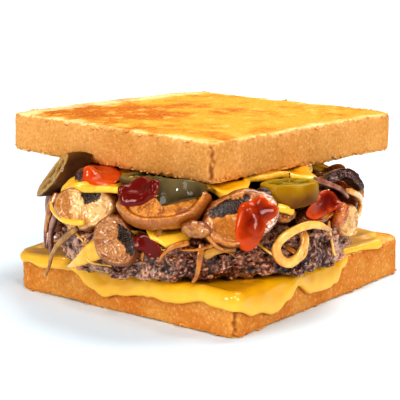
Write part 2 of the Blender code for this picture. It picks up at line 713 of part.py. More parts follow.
bread_slice("bread_bottom", BOTTOM_SIZE, (0.0, 0.0), 0.0, 0.0, bread)
bread_slice("bread_top", TOP_SIZE, TOP_CENTRE, TOP_YAW, TOP_UNDERSIDE, bread)
squashed_lump("patty", PATTY_RADIUS, PATTY_UNEVEN, PATTY_FOOT, PATTY_TOP, 32, 0.5, beef)
squashed_lump("filling_heap", HEAP_RADIUS, HEAP_UNEVEN, HEAP_FOOT, HEAP_TOP, 24, 0.6, mushroom)
melted_sheet(
    "cheese_bottom", low_cheese_point, low_cheese_stations, all_round(30, bread_corner_rays()), cheese
)
melted_sheet("cheese_middle", mid_cheese_point, mid_cheese_stations, all_round(30), cheese)
melted_sheet("cheese_top", top_cheese_point, top_cheese_stations, all_round(32), cheese)
add_mushrooms(mushroom)
add_ovals(LUMPS, ((0.7, 0.8), (1.0, 0.3)), mushroom)
for strip_name, row in ONIONS.items():
    onion_strip(strip_name, row["route"], row["size"], row["lean"], onion)
for ring_name, row in JALAPENOS.items():
    jalapeno_ring(ring_name, stand(*row["at"]), row["thick"], jalapeno)
add_ovals(KETCHUP, ((0.72, 0.95), (1.0, 0.25)), ketchup)

tuck_together(
    ["bread_bottom", "bread_top", "patty"]
    + list(MUSHROOMS)
    + list(LUMPS)
    + list(JALAPENOS)
    + list(ONIONS)
    + ["cheese_bottom", "cheese_middle", "cheese_top", "filling_heap"]
    + list(KETCHUP)
)
for piece in MELT.objects:
    piece.data.shade_smooth()
    piece.data.set_sharp_from_angle(angle=math.radians(40))
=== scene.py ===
import math
import random

import bmesh
import bpy
from mathutils import Matrix, Vector, noise
from mathutils.bvhtree import BVHTree


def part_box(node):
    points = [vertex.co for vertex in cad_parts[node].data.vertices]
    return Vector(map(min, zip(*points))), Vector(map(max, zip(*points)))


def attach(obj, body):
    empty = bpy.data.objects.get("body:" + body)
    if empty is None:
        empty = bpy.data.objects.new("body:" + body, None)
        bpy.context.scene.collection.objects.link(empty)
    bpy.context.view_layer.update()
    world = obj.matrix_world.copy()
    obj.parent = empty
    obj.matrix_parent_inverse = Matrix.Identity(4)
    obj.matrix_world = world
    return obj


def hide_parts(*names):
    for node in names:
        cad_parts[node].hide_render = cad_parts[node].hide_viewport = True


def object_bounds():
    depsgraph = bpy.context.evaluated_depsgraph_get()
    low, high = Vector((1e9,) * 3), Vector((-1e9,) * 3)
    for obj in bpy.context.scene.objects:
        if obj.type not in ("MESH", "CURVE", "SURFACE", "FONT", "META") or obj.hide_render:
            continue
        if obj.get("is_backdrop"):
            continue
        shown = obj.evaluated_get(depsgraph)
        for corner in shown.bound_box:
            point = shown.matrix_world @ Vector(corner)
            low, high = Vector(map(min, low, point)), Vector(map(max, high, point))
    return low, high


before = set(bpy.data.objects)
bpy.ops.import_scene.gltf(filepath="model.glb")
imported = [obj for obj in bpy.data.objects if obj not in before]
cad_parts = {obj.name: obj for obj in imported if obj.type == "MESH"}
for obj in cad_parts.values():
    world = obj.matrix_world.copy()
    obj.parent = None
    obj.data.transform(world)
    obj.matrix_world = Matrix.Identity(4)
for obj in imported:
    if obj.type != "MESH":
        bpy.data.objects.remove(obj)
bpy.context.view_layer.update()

MM = 0.001


# Bread. Two slices of square pan bread browned on a griddle. The sides are the loaf's own thin
# crust, matt and finely grained, with a dark fold where a corner of the pan pressed it. The faces
# are cut crumb, toasted in streaks and left pale along the rim that the griddle missed.
BREAD_VOXEL = 0.66 * MM
BREAD_WAVE, BREAD_WAVE_LENGTH = 0.45 * MM, 24 * MM
FACE_WAVE, FACE_WAVE_LENGTH = 0.5 * MM, 11 * MM
CRUST_GRAIN, CRUST_GRAIN_DEPTH = 1.3 * MM, 0.2 * MM
CRUMB_PORE, CRUMB_PORE_DEPTH, OPEN_CRUMB = 2.6 * MM, 0.55 * MM, 9 * MM
FOLD_DEPTH, FOLD_SPAN = 0.6 * MM, (0.8 * MM, 2.3 * MM)
TORN_BAND, TORN_SHRED, TORN_THREAD = 2.4 * MM, 2.6 * MM, 1.2 * MM
MISSED_RIM = 8.0 * MM
BREAD_MARKS = ["face", "fold", "pore", "inset", "rim"]
# The lower slice is pressed down toward its left corner, and the cheese on it with it.
PRESSED_CORNER = Vector((-55.4 * MM, -59.7 * MM, 0.0))
PRESSED_DEPTH, PRESSED_REACH = 2.8 * MM, 40.0 * MM


def tint(code):
    """A colour's sRGB hex code as linear RGBA."""
    channels = [int(code[i : i + 2], 16) / 255 for i in (0, 2, 4)]
    return (*[c / 12.92 if c <= 0.04045 else ((c + 0.055) / 1.055) ** 2.4 for c in channels], 1.0)


def ramp(value, start, end):
    """0 at the start and 1 at the end, eased between and flat beyond them."""
    u = min(max((value - start) / (end - start), 0.0), 1.0)
    return u * u * (3.0 - 2.0 * u)


def waves(place, size, seed=0.0):
    """Smooth noise from about -1 to 1 with bumps of the given size."""
    return noise.noise(place / size + Vector((seed, seed, seed)))


def add_node(tree, kind, inputs=(), out=0, **settings):
    """A node with its settings; gives back one of its outputs. inputs lists the first sockets'
    values in order, or pairs a socket's name or number with one. A value that is a socket is linked."""
    made = tree.nodes.new(kind)
    for name, value in settings.items():
        setattr(made, name, value)
    pairs = inputs.items() if isinstance(inputs, dict) else enumerate(inputs)
    for key, value in pairs:
        if isinstance(value, bpy.types.NodeSocket):
            tree.links.new(value, made.inputs[key])
        else:
            made.inputs[key].default_value = value
    return made.outputs[out]


def new_material(name, grains=(), marks=(), **sockets):
    """A material with one Principled shader, whose constant sockets are set by their names. It comes
    with its tree, the place on the piece, a noise for each size in millimetres and detail in grains,
    and the marks that the piece's points carry."""
    made = bpy.data.materials.new(name)
    made.use_nodes = True
    tree = made.node_tree
    for socket, value in sockets.items():
        tree.nodes["Principled BSDF"].inputs[socket.replace("_", " ")].default_value = value
    place = add_node(tree, "ShaderNodeTexCoord", out="Object")
    noises = [
        add_node(tree, "ShaderNodeTexNoise", {"Vector": place, "Scale": 1 / (size * MM), "Detail": detail})
        for size, detail in grains
    ]
    read = [add_node(tree, "ShaderNodeAttribute", out="Fac", attribute_name=mark) for mark in marks]
    return made, tree, place, noises, read


def laid_over(tree, base, *coats):
    """A base colour under coats of others. A coat is the pattern or mark that spreads it, for a
    pattern the values where it starts and is full, how much of it there is at most, and its colour."""
    base = tint(base) if isinstance(base, str) else base
    for share, *span, most, colour in coats:
        if span:
            share = add_node(tree, "ShaderNodeMapRange", [share, *span])
        share = add_node(tree, "ShaderNodeMath", [share, most], operation="MULTIPLY", use_clamp=True)
        colour = tint(colour) if isinstance(colour, str) else colour
        base = add_node(tree, "ShaderNodeMix", {0: share, 6: base, 7: colour}, out=2, data_type="RGBA")
    return base


def finish(tree, colour, relief, depth, strength=0.5):
    """Give a material's shader its colour, and a relief too fine for the mesh."""
    shader = tree.nodes["Principled BSDF"]
    bump = add_node(tree, "ShaderNodeBump", {"Height": relief, "Distance": depth, "Strength": strength})
    tree.links.new(colour, shader.inputs["Base Color"])
    tree.links.new(bump, shader.inputs["Normal"])
    return bump


def new_object(name, data):
    """An object in the scene that holds a mesh, a lamp or a camera."""
    made = bpy.data.objects.new(name, data)
    bpy.context.scene.collection.objects.link(made)
    return made


def reshaped(mesh, kind, sizes=(), **settings):
    """The plain mesh that one modifier makes of another. sizes are the values of a Geometry Nodes
    tree's inputs by their names."""
    holder = new_object(mesh.name, mesh)
    modifier = holder.modifiers.new(kind, kind)
    for name, value in settings.items():
        setattr(modifier, name, value)
    for item in modifier.node_group.interface.items_tree if sizes else ():
        if item.name in sizes:
            modifier[item.identifier] = sizes[item.name]
    bpy.context.view_layer.update()
    seen = holder.evaluated_get(bpy.context.evaluated_depsgraph_get())
    made = bpy.data.meshes.new_from_object(seen)
    bpy.data.objects.remove(holder)
    return made


def even_copy(node, voxel):
    """A node's solid as a mesh of even squares, which can take a relief."""
    bm = bmesh.new()
    bm.from_mesh(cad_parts[node].data)
    bmesh.ops.remove_doubles(bm, verts=bm.verts, dist=0.001 * MM)
    mesh = bpy.data.meshes.new(node)
    bm.to_mesh(mesh)
    bm.free()
    return reshaped(mesh, "REMESH", mode="VOXEL", voxel_size=voxel, use_smooth_shade=True)


def set_marks(mesh, names, rows):
    """Keep a row of numbers for each of a mesh's points, which its material reads by their names."""
    for name, values in zip(names, zip(*rows)):
        mesh.attributes.new(name, "FLOAT", "POINT").data.foreach_set("value", values)


def sculpt(mesh, surface_at, names):
    """Move each point of a mesh by surface_at(place, normal), and keep the marks it also gives."""
    normals = [v.normal.copy() for v in mesh.vertices]
    rows = []
    for v, normal in zip(mesh.vertices, normals):
        offset, *marks = surface_at(v.co.copy(), normal)
        v.co += offset
        rows.append(marks)
    set_marks(mesh, names, rows)


def add_piece(name, mesh, material, slot, nodes=()):
    """A piece of the melt: it rides on the body, takes its material and stands for its nodes; its slot is not
    used.
    """
    mesh.materials.clear()
    mesh.materials.append(material)
    mesh.shade_smooth()
    piece = new_object(name, mesh)
    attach(piece, "root")
    if nodes:
        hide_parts(*nodes)
    return piece


def pressed_down(place):
    """How much lower than level the top of the lower slice lies at a place."""
    away = math.hypot(place.x - PRESSED_CORNER.x, place.y - PRESSED_CORNER.y)
    return PRESSED_DEPTH * (1.0 - ramp(away, 0.0, PRESSED_REACH))


def bread_surface(low, high, to_slice, half_sides, fold, tear, sags):
    """How a slice departs from a smooth block between its lowest and highest corners. to_slice turns
    a place in the row's frame into the slice's own, half_sides are half its width and depth, and
    sags says if its corner is pressed down."""

    def surface_at(place, normal):
        on_face = ramp(abs(normal.z), 0.6, 0.95)
        own = to_slice @ place
        inset = min(half_sides.x + own.x - MISSED_RIM, half_sides.x - own.x, half_sides.y - abs(own.y)) / MM
        height = BREAD_WAVE * waves(place, BREAD_WAVE_LENGTH) + CRUST_GRAIN_DEPTH * waves(place, CRUST_GRAIN)
        height += on_face * FACE_WAVE * waves(place, FACE_WAVE_LENGTH, 3.0)
        open_crumb = ramp(waves(place, OPEN_CRUMB, 4.0), -0.15, 0.35)
        cell = noise.voronoi(place / CRUMB_PORE)[0][0]
        pore = on_face * open_crumb * (1.0 - ramp(cell, 0.12, 0.42))
        from_fold = math.hypot(place.x - fold.x, place.y - fold.y) + 1.2 * MM * waves(place, 1.6 * MM)
        folded = (1.0 - on_face) * (1.0 - ramp(from_fold, *FOLD_SPAN))
        height -= CRUMB_PORE_DEPTH * pore + FOLD_DEPTH * folded
        rim = 1.0 - ramp(min(place.z - low.z, high.z - place.z), 0.0, TORN_BAND)
        shreds = waves(place, TORN_SHRED, 7.0) + 0.9 * waves(place, TORN_THREAD, 9.0)
        torn = tear * rim * (1.0 - on_face) * shreds
        offset = normal * (height - 0.4 * abs(torn)) + Vector((0.0, 0.0, torn))
        offset.z = max(offset.z, low.z - place.z - tear)
        offset.z -= sags * pressed_down(place) * (place.z - low.z) / (high.z - low.z)
        return offset, on_face, folded, pore, max(inset, 0.0), rim * (1.0 - on_face)

    return surface_at


def toasted_bread(name, crust_light, crust_dark, face_light, face_brown, brown_spot, brown_reach):
    """Baked crust and griddled crumb: matt, so only the grain and the pores catch the light. The
    face is brownest round brown_spot and pales to cream where its rim stood off the griddle."""
    material, tree, place, (clouds, blots, specks, fine), (face, fold, pore, inset) = new_material(
        name, [(16, 4), (6, 5), (1.1, 3), (0.6, 3)], BREAD_MARKS[:4], Roughness=0.8, Specular_IOR_Level=0.15
    )
    crust = laid_over(
        tree,
        crust_light,
        (clouds, 0.38, 0.66, 1.0, crust_dark),
        (specks, 0.54, 0.74, 0.3, "8A4A1E"),
        (specks, 0.46, 0.28, 0.4, "F2CE9C"),
        (fold, 0.8, "6A300E"),
    )
    away = add_node(tree, "ShaderNodeVectorMath", [place, brown_spot], operation="DISTANCE", out=1)
    near = add_node(tree, "ShaderNodeMapRange", [away, brown_reach, 0.3 * brown_reach, 0.0, 0.3])
    far = add_node(tree, "ShaderNodeMapRange", [away, 0.5 * brown_reach, 1.8 * brown_reach, 0.0, -0.07])
    toast = add_node(tree, "ShaderNodeMath", [clouds, near])
    toast = add_node(tree, "ShaderNodeMath", [toast, far])
    toast = add_node(tree, "ShaderNodeMath", [blots, 0.45, toast], operation="MULTIPLY_ADD")
    ragged_inset = add_node(tree, "ShaderNodeMath", [clouds, 14.0, inset], operation="MULTIPLY_ADD")
    ragged_inset = add_node(tree, "ShaderNodeMath", [blots, 8.0, ragged_inset], operation="MULTIPLY_ADD")
    crumb = laid_over(
        tree,
        face_light,
        (toast, 0.66, 0.9, 1.0, face_brown),
        (toast, 0.9, 1.15, 0.6, "B45E1A"),
        (blots, 0.44, 0.34, 0.5, "ECC672"),
        (ragged_inset, 16.0, 10.5, 0.85, "F3DAA4"),
        (pore, 0.4, "B8722C"),
        (specks, 0.54, 0.72, 0.5, "B4661E"),
        (specks, 0.46, 0.3, 0.5, "F0C45C"),
    )
    finish(tree, laid_over(tree, crust, (face, 1.0, crumb)), fine, 0.35 * MM)
    return material


# Each slice: its width and depth, middle, yaw, how ragged its rims are torn, how much of the pressed
# corner it takes, its colours (the crust's light and dark, the face's light and brown), and where and
# how far round the griddle browned its face the most.
SLICES = {
    "bread_bottom": dict(
        size=(110.9, 119.5), middle=(0.0, 0.0), yaw=0.0, tear=0.25, sags=1.0,
        colours=("D6964A", "CC8036", "EAB458", "CF842E"), browned=(10.0, -5.0, 15.4), reach=34,
    ),
    "bread_top": dict(
        size=(118.4, 113.3), middle=(-14.65, 10.48), yaw=-5.5, tear=1.7, sags=0.0,
        colours=("DCA05C", "D0944E", "DEA840", "C87826"), browned=(-48.0, -14.0, 67.0), reach=44,
    ),
}
slices = {}
for node, row in SLICES.items():
    low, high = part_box(node)
    turned = Matrix.Rotation(math.radians(row["yaw"]), 2)
    near_corner = turned @ (Vector((row["size"][0], -row["size"][1])) / 2) + Vector(row["middle"])
    to_slice = (Matrix.Translation(Vector((*row["middle"], 0.0)) * MM) @ turned.to_4x4()).inverted()
    half_sides = Vector(row["size"]) * MM / 2
    loaf = even_copy(node, BREAD_VOXEL)
    tear = row["tear"] * MM
    relief = bread_surface(low, high, to_slice, half_sides, near_corner * MM, tear, row["sags"])
    sculpt(loaf, relief, BREAD_MARKS)
    browned = Vector(row["browned"]) * MM
    toasted = toasted_bread(node + " toasted", *row["colours"], browned, row["reach"] * MM)
    slices[node] = add_piece(node + "_slice", loaf, toasted, "bread", [node])


# Cheese. Slices of soft processed cheese melted by the patty's heat: they lie on what is under them,
# swell into a thick round bead at the edge and run down over it in tongues. Smooth, waxy and wet.
PATTY_AXIS = Vector((5.0 * MM, -13.0 * MM, 0.0))
CHEESE_THICK = 1.5 * MM
CHEESE_BEAD = 0.7 * MM
CHEESE_RAYS = 600
CHEESE_STATIONS = 56

# How far the lower sheet runs past the bread's edge, down its side, seen from the slice's middle,
# and how far the two others reach from the patty's axis: angle and millimetres.
LOW_CHEESE_RUNS = [
    (-180, -2), (-168, 1), (-156, -4), (-146, -3), (-138, -2.4), (-133, -1), (-128, 0.5), (-120, 2),
    (-110, 1.5), (-100, 7.5), (-94, 9), (-86, 6.5), (-75, 5.5), (-63, 5), (-54, 2.5), (-47, 4.5), (-42, 7),
    (-34, 9.5), (-28, 6), (-23, 2.5), (-14, 7.5), (-4, 8.5), (3, 7.5), (8, 2), (15, -2), (24, -1), (33, 0.5),
    (42, -9), (50, -12), (60, -9), (70, 1), (80, 5), (92, 3), (104, 7), (115, 4), (126, -5), (135, -10),
    (143, -3), (155, 4), (167, 6),
]
MID_CHEESE_REACH = [
    (-180, 50), (-168, 63), (-156, 50), (-90, 49), (-77, 51), (-70, 58), (-64.5, 60.5), (-59, 59.5),
    (-53, 51), (-30, 50), (0, 49), (60, 49), (110, 50), (120, 64), (130, 50),
]
TOP_CHEESE_REACH = [
    (-180, 42), (-168, 56), (-154, 42), (-140, 46), (-127, 52), (-115, 58), (-105, 58), (-86, 57), (-76, 42),
    (-60, 34), (-50, 44), (-43, 55), (-36, 52), (-27, 38), (-4, 38), (6, 49), (15, 42), (45, 40),
    (61, 57), (76, 40), (108, 40), (120, 57), (132, 40), (160, 40),
]
# How much lower the top sheet lies where jalapeno rings press on it, and how far its edge falls.
TOP_CHEESE_STEP = [
    (-180, 2.5), (-168, 1.5), (-148, 0.0), (-130, 0.3), (-112, 1.2), (-100, 3.0), (-72, 3.0), (-55, 0.3),
    (0, 0), (60, 0.5), (80, 3.0), (120, 3.0), (140, 2.5), (160, 3.0),
]
TOP_CHEESE_FALL = [
    (-180, 1), (-168, 6), (-154, 2), (-140, 1), (-125, 3.5), (-115, 5), (-105, 0.5), (-86, -1.5), (-75, 0),
    (-50, 1), (-43, 2.5), (-27, 0.5), (6, 2.0), (15, 1), (45, 1), (61, 7), (76, 0), (104, 0),
    (120, 6), (140, 1),
]
LOW_CHEESE_Z, MID_CHEESE_Z, TOP_CHEESE_Z = 15.8 * MM, 36.95 * MM, 50.0 * MM
LOW_CHEESE_BEND = 1.6 * MM
PATTY_LEVEL, MID_CHEESE_BEND = 48.0 * MM, 12.4 * MM
TOP_CHEESE_STEP_SPAN = (12.0 * MM, 25.0 * MM)
TOP_CHEESE_FALL_FROM = 40.0 * MM
SHARP_CORNER, ROUND_CORNER = 3.0 * MM, 9.0 * MM


def eased(rows, angle):
    """The value at an angle in degrees of rows (angle, value), eased from row to row all round."""
    angle = (angle - rows[0][0]) % 360.0 + rows[0][0]
    closed = rows + [(rows[0][0] + 360.0, rows[0][1])]
    for (a, low_value), (b, high_value) in zip(closed, closed[1:]):
        if a <= angle <= b:
            return low_value + (high_value - low_value) * ramp(angle, a, b)
    return rows[0][1]


def polar(a, reach=1.0, height=0.0):
    """The point at an angle in radians, a distance from the Z axis and a height."""
    return Vector((reach * math.cos(a), reach * math.sin(a), height))


def bent_over(distance, level, bend):
    """Out and down for a sheet that lies level, then bends over an edge and hangs straight."""
    past = max(distance - level, 0.0)
    quarter = bend * math.pi / 2
    swing = min(past / quarter, 1.0) * math.pi / 2
    out = min(distance, level) + bend * math.sin(swing)
    return out, bend * (1.0 - math.cos(swing)) + max(past - quarter, 0.0)


def bread_edge(angle):
    """How far the lower slice's rounded outline lies from its middle at an angle in degrees."""
    c, s = abs(math.cos(math.radians(angle))), abs(math.sin(math.radians(angle)))
    half_x, half_y = (side * MM / 2 for side in SLICES["bread_bottom"]["size"])
    is_near_corner = math.cos(math.radians(angle)) > 0 > math.sin(math.radians(angle))
    radius = SHARP_CORNER if is_near_corner else ROUND_CORNER
    tiny = 1e-9
    straight = min(half_x / max(c, tiny), half_y / max(s, tiny))
    in_x, in_y = half_x - radius, half_y - radius
    if c * straight <= in_x or s * straight <= in_y:
        return straight
    along = in_x * c + in_y * s
    return along + math.sqrt(max(along ** 2 - in_x ** 2 - in_y ** 2 + radius ** 2, 0.0))


def low_cheese_point(angle, distance):
    """A point on the lower slice's top, or past its rim down its side."""
    out, drop = bent_over(distance, bread_edge(angle) + 0.4 * MM - LOW_CHEESE_BEND, LOW_CHEESE_BEND)
    place = polar(math.radians(angle), out, LOW_CHEESE_Z - drop)
    place.z -= pressed_down(place)
    return place


def mid_cheese_point(angle, distance):
    """A point on the patty's top, shoulder or side, at a distance along its skin."""
    out, drop = bent_over(distance, PATTY_LEVEL, MID_CHEESE_BEND)
    return PATTY_AXIS + polar(math.radians(angle), out, MID_CHEESE_Z - drop)


def top_cheese_point(angle, distance):
    """A point of the sheet under the upper slice, lower where rings press on it and at its edge."""
    pressed = eased(TOP_CHEESE_STEP, angle) * MM * ramp(distance, *TOP_CHEESE_STEP_SPAN)
    span = eased(TOP_CHEESE_REACH, angle) * MM - TOP_CHEESE_FALL_FROM
    share = min(max((distance - TOP_CHEESE_FALL_FROM) / max(span, 1.0 * MM), 0.0), 1.0)
    fallen = eased(TOP_CHEESE_FALL, angle) * MM * share * share
    return PATTY_AXIS + polar(math.radians(angle), distance, TOP_CHEESE_Z - pressed - fallen)


def ragged(reach, angle, seed):
    """A reach in metres with the small waves of a melted edge."""
    spot = polar(math.radians(angle)) * 60 * MM
    return reach + 0.9 * MM * waves(spot, 7 * MM, seed) + 0.4 * MM * waves(spot, 2.5 * MM, seed)


def new_mesh(name, points, faces, marks=(), rows=()):
    """A mesh of points and faces, with a row of marks for each point."""
    mesh = bpy.data.meshes.new(name)
    mesh.from_pydata(points, [], faces)
    set_marks(mesh, marks, rows)
    return mesh


def melted_sheet(name, point_at, reach_at, seed):
    """A sheet on rays from its middle: its top, a round lip and its underside, down each ray. Its lip
    mark is 1 on the lip and falls to 0 a few millimetres in; the material paints the lip paler there, as a
    painted sheen."""
    small_turn, small_step = 0.3, 0.3 * MM
    lip_steps, start_share, under_every = 7, 0.35, 4
    columns, thinned = [], []
    for k in range(CHEESE_RAYS):
        angle = 360.0 * k / CHEESE_RAYS
        end = ragged(reach_at(angle), angle, seed)
        over, under, marks = [], [], []
        for j in range(CHEESE_STATIONS):
            share = 1.0 - (1.0 - j / (CHEESE_STATIONS - 1)) ** 1.5
            distance = end * (start_share + (1.0 - start_share) * share)
            base = point_at(angle, distance)
            along = point_at(angle, distance + small_step) - point_at(angle, distance - small_step)
            along.normalize()
            around = point_at(angle + small_turn, distance) - point_at(angle - small_turn, distance)
            up = along.cross(around).normalized()
            from_end = end - distance
            bead = CHEESE_BEAD * ramp(from_end, 7 * MM, 1.5 * MM)
            uneven = 0.35 * MM * waves(base, 8 * MM, seed) + 0.15 * MM * waves(base, 3 * MM, seed)
            over.append(base + up * (CHEESE_THICK + bead + uneven))
            under.append(base - up * 0.3 * MM * ramp(from_end, 4 * MM, 0.0))
            marks.append(ramp(from_end, 6 * MM, 0.5 * MM))
        middle, half = (over[-1] + under[-1]) / 2, (over[-1] - under[-1]) / 2
        lip = []
        for i in range(1, lip_steps):
            swing = math.pi * i / lip_steps
            lip.append(middle + half * math.cos(swing) + along * half.length * math.sin(swing))
        columns.append(over + lip + under[::-under_every])
        thinned += marks + [1.0] * len(lip) + marks[::-under_every]
    rows = len(columns[0])
    points = [point for column in columns for point in column]
    hubs = (point_at(0.0, 0.0) + Vector((0.0, 0.0, CHEESE_THICK)), point_at(0.0, 0.0))
    faces = []
    for k in range(CHEESE_RAYS):
        here, there = k * rows, (k + 1) % CHEESE_RAYS * rows
        faces += [(here + j, here + j + 1, there + j + 1, there + j) for j in range(rows - 1)]
        faces.append((len(points), here, there))
        faces.append((len(points) + 1, there + rows - 1, here + rows - 1))
    marks = [[mark] for mark in thinned + [0.0, 0.0]]
    return new_mesh(name, points + list(hubs), faces, ["thinned"], marks)


def melted_cheese():
    """Waxy and a little see-through under a shining film of fat, painted paler along its lip as a
    painted sheen, and stained by the sauce at the lower slice's left corner."""
    material, tree, place, (clouds,), (thinned,) = new_material(
        "Melted processed cheese", [(13, 2)], ["thinned"], Roughness=0.34, Specular_IOR_Level=0.25,
        Coat_Weight=0.6, Coat_Roughness=0.12, Subsurface_Weight=0.12, Subsurface_Scale=0.5,
        Subsurface_Radius=(2.0 * MM, 1.2 * MM, 0.3 * MM),
    )
    x, y, _ = add_node(tree, "ShaderNodeSeparateXYZ", [place]).node.outputs
    stain_x = add_node(tree, "ShaderNodeMapRange", [x, -46 * MM, -60 * MM])
    stain_y = add_node(tree, "ShaderNodeMapRange", [y, -30 * MM, -52 * MM])
    oily = add_node(tree, "ShaderNodeMath", [stain_x, stain_y], operation="MULTIPLY")
    oily = add_node(tree, "ShaderNodeMath", [oily, clouds], operation="MULTIPLY")
    colour = laid_over(
        tree,
        "EAB00C",
        (clouds, 0.4, 0.65, 0.8, "DC9C06"),
        # Painted sheen: the lip is painted pale yellow.
        (thinned, 0.42, "FFD060"),
        (oily, 0.25, 0.5, 0.8, "C9481A"),
    )
    finish(tree, colour, clouds, 1.0 * MM, 0.3)
    return material


# Each sheet's points, and how far it reaches at an angle.
SHEETS = {
    "cheese_bottom": (low_cheese_point, lambda angle: bread_edge(angle) + eased(LOW_CHEESE_RUNS, angle) * MM),
    "cheese_middle": (mid_cheese_point, lambda angle: eased(MID_CHEESE_REACH, angle) * MM),
    "cheese_top": (top_cheese_point, lambda angle: eased(TOP_CHEESE_REACH, angle) * MM),
}
cheese_wax = melted_cheese()
sheets = {}
for seed, (node, (point_at, reach_at)) in enumerate(SHEETS.items(), 1):
    sheet = melted_sheet(node, point_at, reach_at, seed)
    sheets[node] = add_piece(node + "_melted", sheet, cheese_wax, "cheese", [node])


# Patty. Ground beef pressed into a disc by hand and fried hard: packed grains with cracks between them
# painted nearly black as painted shade, browned on their tops, painted paler pinkish grey on its sides as a
# painted sheen, with pale flecks as painted glints, and wet with fat.
PATTY_RADIUS, PATTY_UNEVEN = 58.0 * MM, 2.0 * MM
PATTY_FOOT, PATTY_TOP = 17.3 * MM, 36.5 * MM
PATTY_DROOP = 2.6 * MM
LUMP_WAVES = 2.2


def start_tree(name, sizes):
    """A Geometry Nodes tree with a geometry in and out and a number in for each named size."""
    tree = bpy.data.node_groups.new(name, "GeometryNodeTree")
    tree.interface.new_socket("Geometry", in_out="INPUT", socket_type="NodeSocketGeometry")
    for size in sizes:
        tree.interface.new_socket(size, in_out="INPUT", socket_type="NodeSocketFloat")
    tree.interface.new_socket("Geometry", in_out="OUTPUT", socket_type="NodeSocketGeometry")
    return tree, tree.nodes.new("NodeGroupInput").outputs


def end_tree(tree, geometry, material):
    """Make real what the tree has instanced, give it its material and pass it out."""
    real = add_node(tree, "GeometryNodeRealizeInstances", [geometry])
    dressed = add_node(tree, "GeometryNodeSetMaterial", {0: real, "Material": material})
    tree.links.new(dressed, tree.nodes.new("NodeGroupOutput").inputs[0])


def round_lump(name, radius, uneven, foot, top, edge_power, spacing):
    """A round lump about the patty's axis with an uneven outline, its points evenly spaced down its
    side and wider apart on its top and underside. edge_power is how square its upper edge is."""
    flatness, waves_upward = 0.4, 0.6
    fine_from, coarse = 0.78, 0.15
    middle, half = (foot + top) / 2, (top - foot) / 2
    profile = []
    for k in range(1, 2000):
        swing = math.pi * (k / 2000 - 0.5)
        power = edge_power if swing > 0 else edge_power / 2
        rise = math.copysign(abs(math.sin(swing)) ** power, swing)
        profile.append((math.cos(swing) ** flatness, rise))
    picked, walked = [profile[0]], 0.0
    for (ring, rise), (next_ring, next_rise) in zip(profile, profile[1:]):
        step = math.hypot((next_ring - ring) * radius, (next_rise - rise) * half)
        walked += step * (1.0 if ring > fine_from else coarse)
        if walked >= spacing:
            picked.append((next_ring, next_rise))
            walked = 0.0
    around = int(2 * math.pi * radius / spacing)
    points = []
    for ring, rise in picked:
        for k in range(around):
            a = 2 * math.pi * k / around
            bumps = polar(a, LUMP_WAVES, rise * waves_upward)
            reach = ring * (radius + uneven * noise.noise(bumps))
            points.append(PATTY_AXIS + polar(a, reach, middle + half * rise))
    faces = []
    for j in range(len(picked) - 1):
        for k in range(around):
            here, there = j * around + k, j * around + (k + 1) % around
            faces.append((here, there, there + around, here + around))
    points += [PATTY_AXIS + Vector((0.0, 0.0, foot)), PATTY_AXIS + Vector((0.0, 0.0, top))]
    last = (len(picked) - 1) * around
    for k in range(around):
        following = (k + 1) % around
        faces.append((len(points) - 2, following, k))
        faces.append((len(points) - 1, last + k, last + following))
    return new_mesh(name, points, faces)


def droop_past_rim(mesh):
    """Let the underside of a lump hang where the lower slice doesn't carry it."""
    half_x, half_y = (side * MM / 2 for side in SLICES["bread_bottom"]["size"])
    for v in mesh.vertices:
        past = max(abs(v.co.x) - half_x, abs(v.co.y) - half_y)
        lower_part = ramp(v.co.z, PATTY_TOP, PATTY_FOOT)
        v.co.z -= PATTY_DROOP * ramp(past, -1.0 * MM, 7.0 * MM) * lower_part


def fried_beef():
    """Browned meat under a film of fat: its cracks are painted dark as painted shade, its sides paler as a
    painted sheen and its pale flecks as painted glints, and its grains' tops catch the light.
    """
    material, tree, place, (patches, flecks), (crag,) = new_material(
        "Fried ground beef", [(11, 3), (1.2, 3)], ["crag"], Roughness=0.34, Specular_IOR_Level=0.22,
        Coat_Weight=0.6, Coat_Roughness=0.05,
    )
    x, y, _ = add_node(tree, "ShaderNodeSeparateXYZ", [place]).node.outputs
    towards_corner = add_node(tree, "ShaderNodeMath", [x, y], operation="SUBTRACT")
    # Painted sheen: all but the front toward the near corner is painted paler, pinkish grey, and that front
    # is painted darker.
    drained = add_node(tree, "ShaderNodeMapRange", [towards_corner, 98 * MM, 82 * MM])
    greyer = add_node(tree, "ShaderNodeMath", [drained, 0.4, patches], operation="MULTIPLY_ADD")
    meat = laid_over(
        tree,
        "A45A2E",
        (greyer, 0.46, 0.68, 0.9, "DAAA90"),
        (towards_corner, 84 * MM, 98 * MM, 0.5, "5A200C"),
        (patches, 0.52, 0.4, 0.9, "521808"),
        # Painted glints: pale pinkish flecks.
        (flecks, 0.53, 0.64, 0.65, "E6B490"),
        (flecks, 0.47, 0.37, 0.85, "2A0B04"),
        # Painted shade: the cracks between the grains are painted nearly black.
        (crag, 0.54, 0.3, 0.92, "1C0602"),
    )
    finish(tree, meat, flecks, 0.8 * MM, 0.9)
    return material


RELIEF_SIZES = ["Grain Size", "Fibre Size", "Crack Depth", "Fibre Depth", "Swirl Size", "Swirl"]


